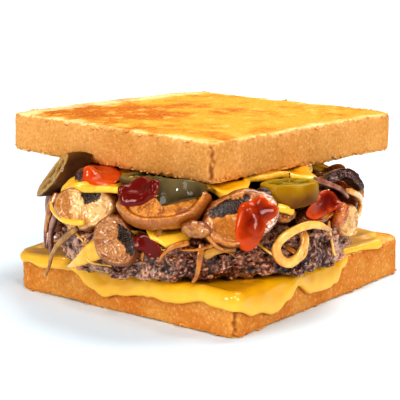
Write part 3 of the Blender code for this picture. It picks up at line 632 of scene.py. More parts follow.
def beef_relief(material):
    """Grains as rounded cells with cracks between them, and finer fibre over them."""
    tree, given = start_tree("Ground beef relief", RELIEF_SIZES)
    place = add_node(tree, "GeometryNodeInputPosition")
    normal = add_node(tree, "GeometryNodeInputNormal")
    swirl_scale = add_node(tree, "ShaderNodeMath", [1.0, given["Swirl Size"]], operation="DIVIDE")
    swirl = add_node(tree, "ShaderNodeTexNoise", {"Vector": place, "Scale": swirl_scale}, out="Color")
    shove = add_node(tree, "ShaderNodeVectorMath", {0: swirl, "Scale": given["Swirl"]}, operation="SCALE")
    warped = add_node(tree, "ShaderNodeVectorMath", [place, shove])
    cells = []
    for size in ("Grain Size", "Fibre Size"):
        scale = add_node(tree, "ShaderNodeMath", [1.0, given[size]], operation="DIVIDE")
        shape = {"Vector": warped, "Scale": scale, "Smoothness": 0.35}
        cell = add_node(tree, "ShaderNodeTexVoronoi", shape, feature="SMOOTH_F1")
        cells.append(add_node(tree, "ShaderNodeMath", [1.0, cell], operation="SUBTRACT"))
    grain, fibre = cells
    crag = add_node(tree, "ShaderNodeMath", [grain, 0.6], operation="MULTIPLY")
    crag = add_node(tree, "ShaderNodeMath", [fibre, 0.4, crag], operation="MULTIPLY_ADD")
    level = add_node(tree, "ShaderNodeMath", [grain, 0.6], operation="SUBTRACT")
    level = add_node(tree, "ShaderNodeMath", [level, given["Crack Depth"]], operation="MULTIPLY")
    fine = add_node(tree, "ShaderNodeMath", [fibre, 0.5], operation="SUBTRACT")
    level = add_node(tree, "ShaderNodeMath", [fine, given["Fibre Depth"], level], operation="MULTIPLY_ADD")
    offset = add_node(tree, "ShaderNodeVectorMath", {0: normal, "Scale": level}, operation="SCALE")
    # crag is high on the grains and low in the cracks, which the patty's material paints nearly black as
    # painted shade.
    mark = {0: given["Geometry"], "Name": "crag", "Value": crag}
    marked = add_node(tree, "GeometryNodeStoreNamedAttribute", mark)
    end_tree(tree, add_node(tree, "GeometryNodeSetPosition", {0: marked, "Offset": offset}), material)
    return tree


def lumps_on(tree, given, kept, turn, size, detail):
    """Lumps of a size on the faces where kept is 1, standing on them and then turned. given holds the
    geometry, how many lie on a square metre, and the seed."""
    density = add_node(tree, "ShaderNodeMath", [kept, given["Per Square Metre"]], operation="MULTIPLY")
    spread = {0: given["Geometry"], "Density": density, "Seed": given["Seed"]}
    spots = add_node(tree, "GeometryNodeDistributePointsOnFaces", spread)
    normal = add_node(tree, "GeometryNodeInputNormal")
    facing = add_node(tree, "FunctionNodeAlignRotationToVector", {"Vector": normal}, axis="Z")
    turned = add_node(tree, "FunctionNodeRotateRotation", [facing, turn], rotation_space="LOCAL")
    lump = add_node(tree, "GeometryNodeMeshIcoSphere", {"Radius": 1.0, "Subdivisions": detail})
    laid = {"Points": spots, "Instance": lump, "Rotation": turned, "Scale": size}
    return add_node(tree, "GeometryNodeInstanceOnPoints", laid)


BIT_SIZES = ["Per Square Metre", "Length", "Width", "Thickness", "Bumps", "Bump Size", "Steepness", "Seed"]


def scatter(name, material, detail, where=""):
    """Loose uneven bits pressed into the upright parts of a surface, each of them different; where
    names a mark of the surface that must be high for them to lie there."""
    tree, given = start_tree(name, BIT_SIZES)
    normal = add_node(tree, "GeometryNodeInputNormal")
    upright = add_node(tree, "ShaderNodeSeparateXYZ", [normal], out=2)
    level = add_node(tree, "ShaderNodeMath", [upright], operation="ABSOLUTE")
    kept = add_node(tree, "ShaderNodeMath", [level, given["Steepness"]], operation="LESS_THAN")
    if where:
        mark = add_node(tree, "GeometryNodeInputNamedAttribute", {"Name": where}, data_type="FLOAT")
        marked = add_node(tree, "ShaderNodeMath", [mark, 0.5], operation="GREATER_THAN")
        kept = add_node(tree, "ShaderNodeMath", [kept, marked], operation="MULTIPLY")
    spin = add_node(tree, "FunctionNodeRandomValue", {2: 0.0, 3: 2 * math.pi, "Seed": 1}, out=1)
    about_z = add_node(tree, "ShaderNodeCombineXYZ", {2: spin})
    share = add_node(tree, "FunctionNodeRandomValue", {2: 0.25, 3: 0.5, "Seed": 2}, out=1)
    whole = add_node(tree, "ShaderNodeCombineXYZ", [given["Length"], given["Width"], given["Thickness"]])
    size = add_node(tree, "ShaderNodeVectorMath", {0: whole, "Scale": share}, operation="SCALE")
    placed = lumps_on(tree, given, kept, about_z, size, detail)
    real = add_node(tree, "GeometryNodeRealizeInstances", [placed])
    # The loose grains' crag is set high, so they take none of the painted crack shade.
    marked = add_node(tree, "GeometryNodeStoreNamedAttribute", {0: real, "Name": "crag", "Value": 0.75})
    place = add_node(tree, "GeometryNodeInputPosition")
    bump_scale = add_node(tree, "ShaderNodeMath", [1.0, given["Bump Size"]], operation="DIVIDE")
    rough = add_node(tree, "ShaderNodeTexNoise", {"Vector": place, "Scale": bump_scale}, out="Color")
    centred = add_node(tree, "ShaderNodeVectorMath", [rough, (0.5, 0.5, 0.5)], operation="SUBTRACT")
    shove = add_node(tree, "ShaderNodeVectorMath", {0: centred, "Scale": given["Bumps"]}, operation="SCALE")
    end_tree(tree, add_node(tree, "GeometryNodeSetPosition", {0: marked, "Offset": shove}), material)
    return tree


def strewn(name, ground, material, slot, per, size, dents, steepness, seed, detail=3, where=""):
    """A piece of loose bits on another's mesh: how many to the square metre, their length, width and
    thickness, and how deep and how far apart their dents are, in millimetres."""
    values = [per, *(length * MM for length in (*size, *dents)), steepness, seed]
    tree = scatter(name, material, detail, where)
    bits = reshaped(ground, "NODES", dict(zip(BIT_SIZES, values)), node_group=tree)
    add_piece(name, bits, material, slot)


def minced(name, lump, material, slot, node, **sizes):
    """A lump with the relief of ground meat, whose RELIEF_SIZES are given in millimetres."""
    relief = {size.replace("_", " ").title(): value * MM for size, value in sizes.items()}
    rugged = reshaped(lump, "NODES", relief, node_group=beef_relief(material))
    return add_piece(name, rugged, material, slot, [node])


beef = fried_beef()
patty_lump = round_lump("patty", PATTY_RADIUS, PATTY_UNEVEN, PATTY_FOOT, PATTY_TOP, 0.5, 0.5 * MM)
droop_past_rim(patty_lump)
patty = minced(
    "patty_fried", patty_lump, beef, "patty", "patty", grain_size=6.0, fibre_size=1.6, crack_depth=3.4,
    fibre_depth=1.1, swirl_size=3.4, swirl=3.6,
)
strewn(
    "patty_grains", patty.data, beef, "patty", per=5e4, size=(5.0, 3.2, 1.8), dents=(2.2, 2.4),
    steepness=0.75, seed=5, detail=2,
)


# Filling. A heap of onions and mushrooms fried together until they are soft and brown: a wet core, painted
# nearly black as painted shade in the gaps between the pieces, with short strips and bits of both lying on
# its side, under the larger pieces.
HEAP_RADIUS, HEAP_UNEVEN = 46.5 * MM, 6.0 * MM
HEAP_FOOT, HEAP_TOP = 38.8 * MM, 46.2 * MM


def fried_filling(name, light, dark):
    """Soft vegetable browned in fat: streaky between its light and dark, and glossy."""
    material, tree, _, (patches, flecks), _ = new_material(
        name, [(6, 3), (0.8, 2)], Roughness=0.35, Coat_Weight=0.3, Coat_Roughness=0.1
    )
    colour = laid_over(tree, light, (patches, 0.4, 0.62, 1.0, dark), (flecks, 0.55, 0.75, 0.5, "2A120A"))
    finish(tree, colour, flecks, 0.4 * MM)
    return material


# Painted shade: the core's fried brown is painted nearly black, for the shade between the pieces.
core_paint = fried_filling("Dark fried filling", "482010", "200B06")
heap_lump = round_lump("heap", HEAP_RADIUS, HEAP_UNEVEN, HEAP_FOOT, HEAP_TOP, 0.6, 1.0 * MM)
heap = minced(
    "filling_core", heap_lump, core_paint, "filling", "filling_heap", grain_size=5.0, fibre_size=2.2,
    crack_depth=2.4, fibre_depth=1.0, swirl_size=5.0, swirl=6.0,
)
# The light and dark colour of each kind of bits, and how they are strewn.
FILLING_BITS = {
    "filling_onions": ("C88438", "8A4A18", dict(per=3.2e4, size=(14, 3, 1.6), dents=(4, 5), seed=11)),
    "filling_mushrooms": ("8A5428", "4A220E", dict(per=2.2e4, size=(9, 6, 3), dents=(3, 4), seed=12)),
}
for name, (light, dark, row) in FILLING_BITS.items():
    bit_paint = fried_filling("Fried " + name.replace("_", " "), light, dark)
    strewn(name, heap.data, bit_paint, "filling", steepness=0.8, **row)


# Mushrooms. Caps sliced from top to bottom and fried: cream flesh browned in patches, a brown skin
# round the dome, and black gills in fine lines where the knife went through them. Shiny with fat.
SLICE_WAVES, SLICE_ROUGH = 1.5, 0.10
SEED_STEP, FIRST_LUMP_SEED = 7.3, 50.0
# The real gills stand 0.4 mm apart. They are drawn coarser, so that they show.
GILL_PITCH = 0.8 * MM
GILL_DEPTH = 0.8 * MM
# The flesh is streaked out from a point under the dome, its fibres as wide as this part of a radian.
FIBRE_WIDTH, FIBRE_LENGTH = 0.06, 60 * MM

# at is a place for stand(): angle, distance, height, spin, tip, turn. size is the width across the
# cap, the dome's height and the thickness; margin is how far the cap goes below its widest line, stem
# the stem's width and length, bow how far the ends drop behind the middle along X and Y, bend how far
# they curve down in the slice's own plane. gills, glaze and the glint patch are patches, each its middle
# and half its width and height: black lines, smooth golden fat, and pale specks painted on as painted
# glints. crease is where, from the middle to the edge, the flesh has split from its rim. look is one of
# the finishes below.
MUSHROOMS = {
    "mushroom_slice_01": dict(
        at=(-102, 57, 41.6, 184, -12, 24), size=(28, 9, 5), margin=6, bow=(1.5, 1),
        gills=[(-3.2, -4.0, 4.4, 3.4)], glaze=(9, 0.5, 5.4, 8.0), look="pale",
    ),
    "mushroom_slice_02": dict(
        at=(-67, 57, 44.9, 189, -42, 4), size=(38, 8.5, 6), margin=3, bow=(5, 0), bend=5.5,
        crease=(0.71, 0.74), look="amber",
    ),
    "mushroom_slice_03": dict(
        at=(-83, 60.4, 32, 118, -16, 14), size=(19, 8.5, 4), margin=6, bow=(0.5, 2),
        gills=[(-1.5, -3.9, 7.5, 2.6)], look="tan",
    ),
    "mushroom_slice_04": dict(
        at=(-39.5, 58, 41, 20, -18, -4), size=(31, 9.5, 5), margin=9, bow=(2.5, 1),
        gills=[(-2.0, 5.0, 9.5, 2.6)], glaze=(-6, -2.2, 4.6, 5.0), froth=(9.5, -2.5, 6, 8.5),
        look="golden",
    ),
    "mushroom_slice_05": dict(
        at=(14, 57, 50.6, -9, -20, -28), size=(29, 2.2, 3), margin=1.5, bow=(3, 0), bend=5.5,
        look="charred",
    ),
    "mushroom_slice_06": dict(
        at=(13, 60, 32.6, -8, -6, -14), size=(15, 7, 4), margin=5, bow=(3, 1), look="pale",
    ),
    "mushroom_slice_07": dict(
        at=(30, 58.5, 39.5, -80, -6, -20), size=(17, 7, 4), margin=3, bow=(3, 0), look="golden",
    ),
    "mushroom_slice_08": dict(
        at=(-3, 56, 39.8, 186, -35, 4), size=(24, 5, 3.5), margin=3, bow=(3, 0), look="golden",
    ),
    "mushroom_slice_09": dict(
        at=(46, 57, 39.5, 150, -16, 0), size=(27, 11, 5), margin=4, stem=(8, 10), bow=(2, 1),
        gills=[(8.0, -2.2, 4.6, 1.8), (-7.6, -2.4, 4.2, 1.6)], look="tan",
    ),
    "mushroom_slice_10": dict(
        at=(78, 56, 38.2, 20, -32, 0), size=(25, 12, 5), margin=4, stem=(8, 9), bow=(3, 1),
        gills=[(-7.4, -2.3, 4.4, 1.8), (7.0, -2.4, 4.0, 1.5)], glaze=(5, 4, 5, 4), look="pale",
    ),
    "mushroom_slice_11": dict(
        at=(103, 57, 38.4, 195, -14, 0), size=(24, 11, 5), margin=3.5, stem=(7, 10), bow=(3, 0),
        gills=[(6.8, -1.9, 3.8, 1.7), (-7.0, -2.0, 4.2, 1.5)], look="golden",
    ),
    "mushroom_slice_12": dict(
        at=(139, 57, 37.6, -28, -26, 0), size=(28, 12, 5.5), margin=4, stem=(9, 8), bow=(3, 1),
        gills=[(8.6, -2.3, 4.8, 1.7), (-8.4, -2.2, 4.2, 1.8)], glaze=(-6, 4, 5, 4), look="pale",
    ),
    "mushroom_slice_13": dict(
        at=(170, 57, 37.8, 35, -28, 0), size=(26, 12, 5), margin=4, stem=(8, 9), bow=(3, 1),
        gills=[(-7.8, -2.3, 4.4, 1.8), (7.4, -2.2, 4.0, 1.6)], look="golden",
    ),
    "mushroom_slice_14": dict(
        at=(-153, 57, 38, 188, -14, 0), size=(23, 11, 5), margin=3.5, stem=(7, 9), bow=(2, 1),
        gills=[(6.6, -1.9, 3.8, 1.6), (-6.6, -2.0, 3.6, 1.5)], look="tan",
    ),
}
# Loose lumps: a stem's end, crumbs of mushroom and charred bits. size is width, height and depth.
LUMPS = {
    "mushroom_stem_01": dict(at=(-54.5, 61.5, 38.3, -8, 0, 0), size=(11, 6.5, 6), look="tan"),
    "mushroom_bit_01": dict(at=(-21, 57, 40.5, 10, -10, 0), size=(8.5, 5.5, 4), look="golden"),
    "mushroom_bit_02": dict(at=(4.5, 60.6, 37.2, 60, 0, -10), size=(11, 6.5, 5), look="sauced"),
    "mushroom_bit_03": dict(at=(-126, 58, 33, 80, 0, 20), size=(13, 7, 6), look="tan"),
    # filling_bit_01 is charred near black and set in the shade between the left ring and the upper cheese,
    # partly as painted shade.
    "filling_bit_01": dict(at=(-119, 48.5, 48.4, 10, 0, 0), size=(17, 8, 8), look="charred"),
    "filling_bit_02": dict(at=(-24, 52, 47.5, -10, 0, 0), size=(14, 6, 7), look="charred"),
}
# Flesh, its browned patches, the skin, and how rough the fat leaves it.
MUSHROOM_LOOKS = {
    "pale": ("ECBE7C", "B87A34", "9A5A20", 0.32),
    "golden": ("C8822E", "864210", "6E3210", 0.26),
    "amber": ("D08C3C", "8A4412", "B06A2C", 0.28),
    "tan": ("B87E42", "8A4C18", "7A3A14", 0.3),
    "charred": ("5E3020", "1A0A06", "2C140E", 0.26),
    "sauced": ("D07C30", "8E3208", "9A4410", 0.2),
}
MUSHROOM_MARKS = ["gill", "skin", "glaze", "froth", "streak"]


def stand(theta, r, z, spin=0.0, tip=0.0, turn=0.0):
    """The place of a topping, in degrees and millimetres.

    Its own X points right as seen from outside, its Y up and its Z away from the patty's axis. It
    is spun about Z, then tipped about X (a plus sends its top out), then turned about Y (a plus
    turns its face to the right).
    """
    a = math.radians(theta)
    c, s = math.cos(a), math.sin(a)
    basis = Matrix(((-s, 0, c), (c, 0, s), (0, 1, 0))).to_4x4()
    spot = PATTY_AXIS + polar(a, r * MM, z * MM)
    spun = Matrix.Rotation(math.radians(spin), 4, "Z")
    tipped = Matrix.Rotation(math.radians(tip), 4, "X")
    turned = Matrix.Rotation(math.radians(turn), 4, "Y")
    return Matrix.Translation(spot) @ basis @ turned @ tipped @ spun


def umbrella_reach(a, size, margin, stem):
    """How far a cut mushroom reaches at an angle: a dome, the margin under it, and a stem if any."""
    tiny = 1e-6
    c, s = math.cos(a), math.sin(a)
    dome = 1.0 / math.hypot(c / (size[0] * MM / 2), s / (size[1] * MM))
    if s >= 0:
        return dome
    cap = min(dome, margin * MM / max(-s, tiny))
    return max(cap, min(stem[0] * MM / 2 / max(abs(c), tiny), stem[1] * MM / max(-s, tiny)))


def ringed_faces(first, last, around):
    """The faces of a closed skin of points numbered from first to last: one on its own, rings of
    points one after another, and one that closes the last ring."""
    faces = []
    for k in range(around):
        following = (k + 1) % around
        faces.append((first, first + 1 + k, first + 1 + following))
        faces.append((last, last - around + following, last - around + k))
        for here in range(first + 1, last - around, around):
            faces.append((here + k, here + around + k, here + around + following, here + following))
    return faces


def pad_mesh(name, place, reach_at, surface_at, marks, around=150, rings=42, flat_to=0.84, bend=0.0):
    """A closed pad on a flat outline: its front from the middle out, its edge, and its back. bend is
    how far the ends of its longest line curve down in its own plane.

    surface_at(x, y, share, facing) gives a point's height along the pad's Z, then its marks. share
    runs from 0 in the middle to 1 at the edge, and facing from 1 in front to -1 behind.
    """
    edge_steps, back_rings = 12, 14
    profile = [(flat_to * i / rings, 1.0) for i in range(1, rings + 1)]
    for i in range(1, edge_steps):
        swing = math.pi * i / edge_steps
        level = math.copysign(abs(math.cos(swing)) ** 0.6, math.cos(swing))
        profile.append((flat_to + (1.0 - flat_to) * math.sin(swing), level))
    profile += [(flat_to * i / back_rings, -1.0) for i in range(back_rings, 0, -1)]
    turns = [2 * math.pi * k / around for k in range(around)]
    reach = [reach_at(a) for a in turns]
    spots = [(0.0, 0.0, 0.0, 1.0)]
    for share, facing in profile:
        for a, far in zip(turns, reach):
            spots.append((share * far * math.cos(a), share * far * math.sin(a), share, facing))
    spots.append((0.0, 0.0, 0.0, -1.0))
    points, rows = [], []
    for x, y, share, facing in spots:
        height, *values = surface_at(x, y, share, facing)
        points.append(place @ Vector((x, y - bend * (x / reach[0]) ** 2, height)))
        rows.append(values)
    return new_mesh(name, points, ringed_faces(0, len(points) - 1, around), marks, rows)


def in_patch(x, y, patch, seed):
    """1 inside an oval patch given in millimetres and 0 outside it, with an uneven border."""
    if not patch:
        return 0.0
    middle_x, middle_y, half_x, half_y = (v * MM for v in patch)
    off = math.hypot((x - middle_x) / half_x, (y - middle_y) / half_y)
    spot = Vector((x, y, 0.0))
    return 1.0 - ramp(off + 0.35 * waves(spot, 3 * MM, seed) + 0.15 * waves(spot, 1 * MM, seed), 0.65, 1.15)


def mushroom_surface(row, seed, half_x, half_y):
    """A cut face that has shrunk in the pan, with gills sunk in it and its skin curled up round it."""
    thick, bow = row["size"][2] * MM, row["bow"]
    rugged = 3.2 if row["look"] == "charred" else 1.0
    crease_from, crease_to = row.get("crease", (2.0, 2.0))

    def surface_at(x, y, share, facing):
        spot = Vector((x, y, facing * thick))
        out = Vector((x, y + 0.6 * half_y, 0.0))
        fan = out.normalized() + Vector((0.0, 0.0, out.length / FIBRE_LENGTH))
        streak = 0.5 + 0.5 * waves(fan, FIBRE_WIDTH, seed)
        sag = (bow[0] * (x / half_x) ** 2 + bow[1] * (y / half_y) ** 2) * MM
        front = max(facing, 0.0)
        gill = front * max(in_patch(x, y, patch, seed) for patch in row.get("gills", [None]))
        gill = ramp(gill + 0.7 * (streak - 0.5), 0.3, 0.9)
        glaze = front * in_patch(x, y, row.get("glaze"), seed + 1)
        # Where pale specks are painted on as painted glints.
        froth = front * in_patch(x, y, row.get("froth"), seed + 2)
        skin = max(ramp(share, 0.84, 0.95), 1.0 - front)
        crease = front * ramp(share, crease_from - 0.03, crease_from)
        crease *= ramp(share, crease_to + 0.03, crease_to)
        wander = 0.5 * waves(spot, 2.5 * MM, seed) + 0.25 * waves(spot, 0.8 * MM, seed)
        lines = math.cos(2 * math.pi * (x + wander * MM) / GILL_PITCH)
        height = 0.5 * MM * waves(spot, 5.5 * MM, seed) * rugged
        pitted = 0.22 * waves(spot, 1.5 * MM, seed) + 0.1 * waves(spot, 0.7 * MM, seed)
        height += pitted * MM * rugged * (1 - glaze)
        height += 0.8 * MM * ramp(share, 0.7, 0.86) * (1.0 - 0.6 * ramp(share, 0.92, 1.0))
        height -= gill * (GILL_DEPTH - 0.35 * MM * lines) + crease * 0.9 * MM
        height += 0.12 * MM * (streak - 0.5) * (1 - glaze)
        dark = gill * (0.92 - 0.08 * lines)
        return facing * (thick / 2 + height) - sag, dark, max(skin, 0.8 * crease), glaze, froth, streak

    return surface_at


def mushroom_outline(row, seed):
    """A slice's outline, averaged with itself a little to either side, which rounds its corners."""
    shape = (row["size"], row["margin"], row.get("stem", (0, 0)))
    apart = math.radians(15)

    def reach_at(a):
        before, here, after = (umbrella_reach(b, *shape) for b in (a - apart, a, a + apart))
        bumps = polar(a)
        large = SLICE_ROUGH * noise.noise(Vector((bumps.x * SLICE_WAVES, bumps.y * SLICE_WAVES, seed)))
        return (before + 2 * here + after) / 4 * (1.0 + large) + 0.3 * MM * waves(bumps, 0.16, seed)

    return reach_at


def lump_shape(size, seed):
    """The outline and the folded skin of a lump of a width, height and depth in millimetres."""
    width, height, depth = (s * MM for s in size)

    def reach_at(a):
        bumps = polar(a)
        oval = 1.0 / math.hypot(bumps.x / (width / 2), bumps.y / (height / 2))
        return oval * (1.0 + 0.12 * waves(bumps, 0.7, seed)) + 0.2 * MM * waves(bumps, 0.2, seed)

    def surface_at(x, y, share, facing):
        spot = Vector((x, y, facing * depth))
        folds = 0.8 * MM * waves(spot, 2.4 * MM, seed) + 0.3 * MM * waves(spot, 0.9 * MM, seed)
        round_off = math.sqrt(max(1.0 - share ** 2.4, 0.0))
        streak = 0.5 + 0.5 * waves(spot, 2 * MM, seed + 5.0)
        return facing * round_off * (depth / 2 + folds), 0.0, ramp(share, 0.7, 1.0), 0.0, 0.0, streak

    return reach_at, surface_at


def fried_mushroom(look):
    """Flesh that has taken up fat, under one wet shine all over."""
    flesh, browned, skin_colour, roughness = MUSHROOM_LOOKS[look]
    material, tree, _, (patches, pits), (gill, skin, glaze, froth, streak) = new_material(
        "Fried mushroom, " + look, [(3.6, 5), (0.9, 3)], MUSHROOM_MARKS, Roughness=roughness,
        Coat_Weight=0.8, Coat_Roughness=0.07, Specular_IOR_Level=0.4, Subsurface_Weight=0.06,
        Subsurface_Scale=0.5, Subsurface_Radius=(2 * MM, 1 * MM, 0.5 * MM),
    )
    mottled = add_node(tree, "ShaderNodeMath", [streak, 0.55, patches], operation="MULTIPLY_ADD")
    # Painted glints: near-white specks over the glint patch.
    specks = add_node(tree, "ShaderNodeMapRange", [pits, 0.44, 0.54])
    white = add_node(tree, "ShaderNodeMath", [froth, specks], operation="MULTIPLY")
    whole = add_node(tree, "ShaderNodeMapRange", [pits, 0.62, 0.5])
    sooty = add_node(tree, "ShaderNodeMath", [gill, whole], operation="MULTIPLY")
    colour = laid_over(
        tree,
        flesh,
        (mottled, 0.7, 0.94, 0.85, browned),
        (glaze, 0.9, "A86400"),
        (skin, 0.9, skin_colour),
        (pits, 0.56, 0.66, 0.5, browned),
        (pits, 0.46, 0.36, 0.4, flesh),
        (gill, 1.0, "4C2E20"),
        (sooty, 0.9, "140906"),
        (white, 0.9, "F6DCD0"),
    )
    finish(tree, colour, pits, 0.5 * MM, 0.6)
    return material


mushroom_looks = {look: fried_mushroom(look) for look in MUSHROOM_LOOKS}
toppings = {}


def add_topping(node, mesh, ending, material, slot):
    """A piece of the heap; those that stand for no node of their own only fill it."""
    stands_for = [node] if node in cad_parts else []
    toppings[node] = add_piece(node + ending, mesh, material, slot, stands_for)


for number, (node, row) in enumerate(MUSHROOMS.items()):
    seed = number * SEED_STEP
    surface = mushroom_surface(row, seed, row["size"][0] * MM / 2, row["size"][1] * MM)
    outline = mushroom_outline(row, seed)
    bend = row.get("bend", 0.0) * MM
    mesh = pad_mesh(node, stand(*row["at"]), outline, surface, MUSHROOM_MARKS, bend=bend)
    add_topping(node, mesh, "_fried", mushroom_looks[row["look"]], "mushroom")
for number, (node, row) in enumerate(LUMPS.items()):
    outline, surface = lump_shape(row["size"], FIRST_LUMP_SEED + number * SEED_STEP)
    mesh = pad_mesh(node, stand(*row["at"]), outline, surface, MUSHROOM_MARKS, around=90, rings=26)
    add_topping(node, mesh, "_fried", mushroom_looks[row["look"]], "mushroom")


# Onions. Strips of one layer of an onion, fried until clear and golden: flat ribbons with rounded
# edges and fine veins running along them, browned at their edges and where they thin out to tips.
VEIN_PITCH_SHARE = 0.28

# A route of (angle, distance, height), width and thickness, how the broad side leans from facing
# straight out, what share of the width is left at either end, and one of the finishes below.
ONIONS = {
    "onion_loop_01": dict(
        route=[
            (-1.5, 60.8, 32.6), (-7, 61.4, 35.2), (-12.2, 61.9, 36.9), (-17.6, 62.4, 37.0),
            (-22.2, 62.8, 35.8), (-26, 63, 33.7), (-27.9, 63, 30.6), (-26.7, 63, 26.8),
            (-23.2, 62.6, 24.6), (-19.1, 62, 25.8), (-16.2, 61.4, 29.1), (-15.4, 60.8, 32.3),
            (-16.3, 60.2, 35.0),
        ],
        size=(4.6, 2.0), ends=(0.6, 1.0), look="golden",
    ),
    "onion_strip_01": dict(
        route=[(-52, 60.3, 28), (-49, 60.6, 30.2), (-45, 60.6, 31.4), (-41, 60.3, 31)], size=(3.6, 1.5),
        look="olive",
    ),
    "onion_strip_02": dict(
        route=[
            (-52.5, 60.3, 33), (-53.1, 61, 28.7), (-53.6, 61, 24.4), (-54.5, 60.4, 20.6),
            (-55.9, 59.6, 18.6),
        ],
        size=(2.8, 2.0), lean=10, ends=(1.0, 0.4), look="amber",
    ),
    "onion_strip_03": dict(
        route=[(-67, 60.8, 25.6), (-65.2, 61, 29), (-61.5, 61.2, 32), (-56.5, 60.6, 33.4)],
        size=(2.6, 1.6), ends=(0.3, 1.0), look="amber",
    ),
    "onion_strip_04": dict(
        route=[
            (-101, 61, 34.0), (-106, 62, 30.2), (-111.5, 63, 25.8), (-116, 63.8, 20.6),
            (-118.5, 64.2, 15.6), (-122, 64.6, 10.8),
        ],
        size=(3.6, 1.3), lean=-20, ends=(0.8, 0.3), look="olive",
    ),
    "onion_strip_05": dict(
        route=[(-88, 60.6, 29.4), (-94, 62, 25.6), (-100, 62.4, 21.4), (-108, 61.6, 17.4)],
        size=(8.4, 1.2), ends=(1.0, 0.15), look="pale",
    ),
    "onion_strip_06": dict(
        route=[(-131, 58.6, 40), (-132, 60.4, 34), (-134, 61.4, 28), (-131, 62.4, 19)], size=(5.8, 3.2),
        lean=-40, ends=(0.8, 0.6), look="mauve",
    ),
    "onion_strip_07": dict(
        route=[(-138, 58.6, 41), (-141, 61, 35), (-143, 61.4, 28), (-140, 62.4, 17.6)], size=(5.4, 2.8),
        lean=-60, ends=(1.0, 0.6), look="mauve",
    ),
    "onion_loose_01": dict(
        route=[(-119, 57, 41), (-121, 60, 35), (-125, 61.2, 28), (-123, 62, 19)], size=(4.2, 2.6),
        lean=-30, ends=(0.7, 0.5), look="mauve",
    ),
    "onion_loose_02": dict(
        route=[(-127, 58, 42), (-127, 61, 36.5), (-129, 62, 31), (-133, 62.4, 25)], size=(3.4, 2.2),
        lean=-40, ends=(1.0, 0.5), look="amber",
    ),
    "onion_loose_03": dict(
        route=[(-44, 60, 36), (-48, 61, 33), (-54, 61.2, 31), (-60, 60.6, 30.5)], size=(2.0, 1.2),
        ends=(1.0, 0.3), look="amber",
    ),
    "onion_loose_04": dict(
        route=[
            (9, 60.5, 46), (16, 61.6, 43.4), (24, 61.8, 40), (29, 61.8, 36.5), (26, 61.4, 33.6),
            (18, 60.8, 33),
        ],
        size=(4.2, 2.2), ends=(0.6, 0.8), look="golden",
    ),
    "onion_strip_08": dict(
        route=[(-4, 54, 51.5), (3, 57.4, 48.6), (8, 59.4, 46), (11, 60.6, 42.6)], size=(2.4, 1.5),
        ends=(1.0, 0.7), look="mauve",
    ),
    "onion_strip_09": dict(
        route=[(62, 60, 34), (66, 61.4, 29), (73, 61.4, 26), (80, 61, 28.5), (84, 60, 33)],
        size=(3.6, 1.5), look="golden",
    ),
    "onion_strip_10": dict(
        route=[(98, 60.8, 26.5), (100, 61.4, 23.5), (99, 61.2, 20)], size=(3.6, 1.5), look="amber",
    ),
    "onion_strip_11": dict(
        route=[(150, 60.8, 29), (153, 61.8, 25.5), (158, 61.8, 24), (163, 61, 26)], size=(4.0, 1.5),
        look="golden",
    ),
    "onion_strip_12": dict(
        route=[(184, 60.6, 31), (186, 61.6, 26), (184.5, 61.4, 20.5)], size=(3.2, 1.5), look="pale",
    ),
    "onion_strip_13": dict(
        route=[(197, 60.6, 26), (201, 61.4, 23.5), (206, 61.4, 25)], size=(3.6, 1.5), look="amber",
    ),
}
# Flesh, veins and browned edges.
ONION_LOOKS = {
    "golden": ("FACA68", "D4943E", "AA6420"),
    "amber": ("D08A2E", "94500F", "5A240A"),
    "olive": ("C8943A", "8A5818", "5E280C"),
    "pale": ("FFC848", "E4A62C", "A8601A"),
    "mauve": ("BC8A70", "7A4028", "4A1E10"),
}
ONION_MARKS = ["vein", "edge"]


def smooth_path(points, count):
    """Points on a Catmull-Rom curve through the given ones, evenly spaced in its parameter."""
    path = []
    last = len(points) - 1
    for k in range(count):
        t = last * k / (count - 1)
        i = min(int(t), last - 1)
        u = t - i
        before, here, there, after = (points[min(max(i + d, 0), last)] for d in (-1, 0, 1, 2))
        bend = (2 * before - 5 * here + 4 * there - after) * u ** 2
        twist = (3 * here - before - 3 * there + after) * u ** 3
        path.append(0.5 * (2 * here + (there - before) * u + bend + twist))
    return path


def ribbon(row, seed, around, per_stretch):
    """A strip along its route, its broad side facing out: its points, in rings between its two end
    points, and the marks of each for its veins and its browned edges."""
    stations = per_stretch * (len(row["route"]) - 1) + 1
    lean = math.radians(row.get("lean", 0))
    first_share, last_share = row.get("ends", (1.0, 1.0))
    path = smooth_path([stand(*spot).translation for spot in row["route"]], stations)
    points, rows = [path[0]], [(0.5, 1.0)]
    for k, point in enumerate(path):
        along = (path[min(k + 1, stations - 1)] - path[max(k - 1, 0)]).normalized()
        out = (point - PATTY_AXIS) * Vector((1.0, 1.0, 0.0))
        leaned = Matrix.Rotation(lean + 0.35 * waves(point, 9 * MM, seed), 3, along)
        side = leaned @ along.cross(out.normalized()).normalized()
        face = side.cross(along)
        from_middle = abs(2.0 * k / (stations - 1) - 1.0)
        taper = 0.3 + 0.7 * math.sqrt(1.0 - min(from_middle, 1.0) ** 6)
        taper *= first_share + (last_share - first_share) * k / (stations - 1)
        uneven = 1.0 + 0.18 * waves(point, 5 * MM, seed)
        half_width = row["size"][0] * MM / 2 * taper * uneven
        half_thick = row["size"][1] * MM / 2 * min(1.5 * taper, 1.0)
        for i in range(around):
            a = 2 * math.pi * i / around
            across = math.cos(a)
            level = math.copysign(abs(math.sin(a)) ** 0.7, math.sin(a))
            vein = math.cos(2 * math.pi * across / VEIN_PITCH_SHARE)
            hollow = 1.0 - 0.15 * (1.0 - across ** 2)
            high = half_thick * level * hollow + 0.12 * MM * vein * abs(level)
            points.append(point + side * across * half_width + face * high)
            edge = max(ramp(from_middle, 0.78, 1.0), 0.7 * ramp(abs(across), 0.72, 1.0))
            rows.append((0.5 + 0.5 * vein, edge))
    return points + [path[-1]], rows + [(0.5, 1.0)]


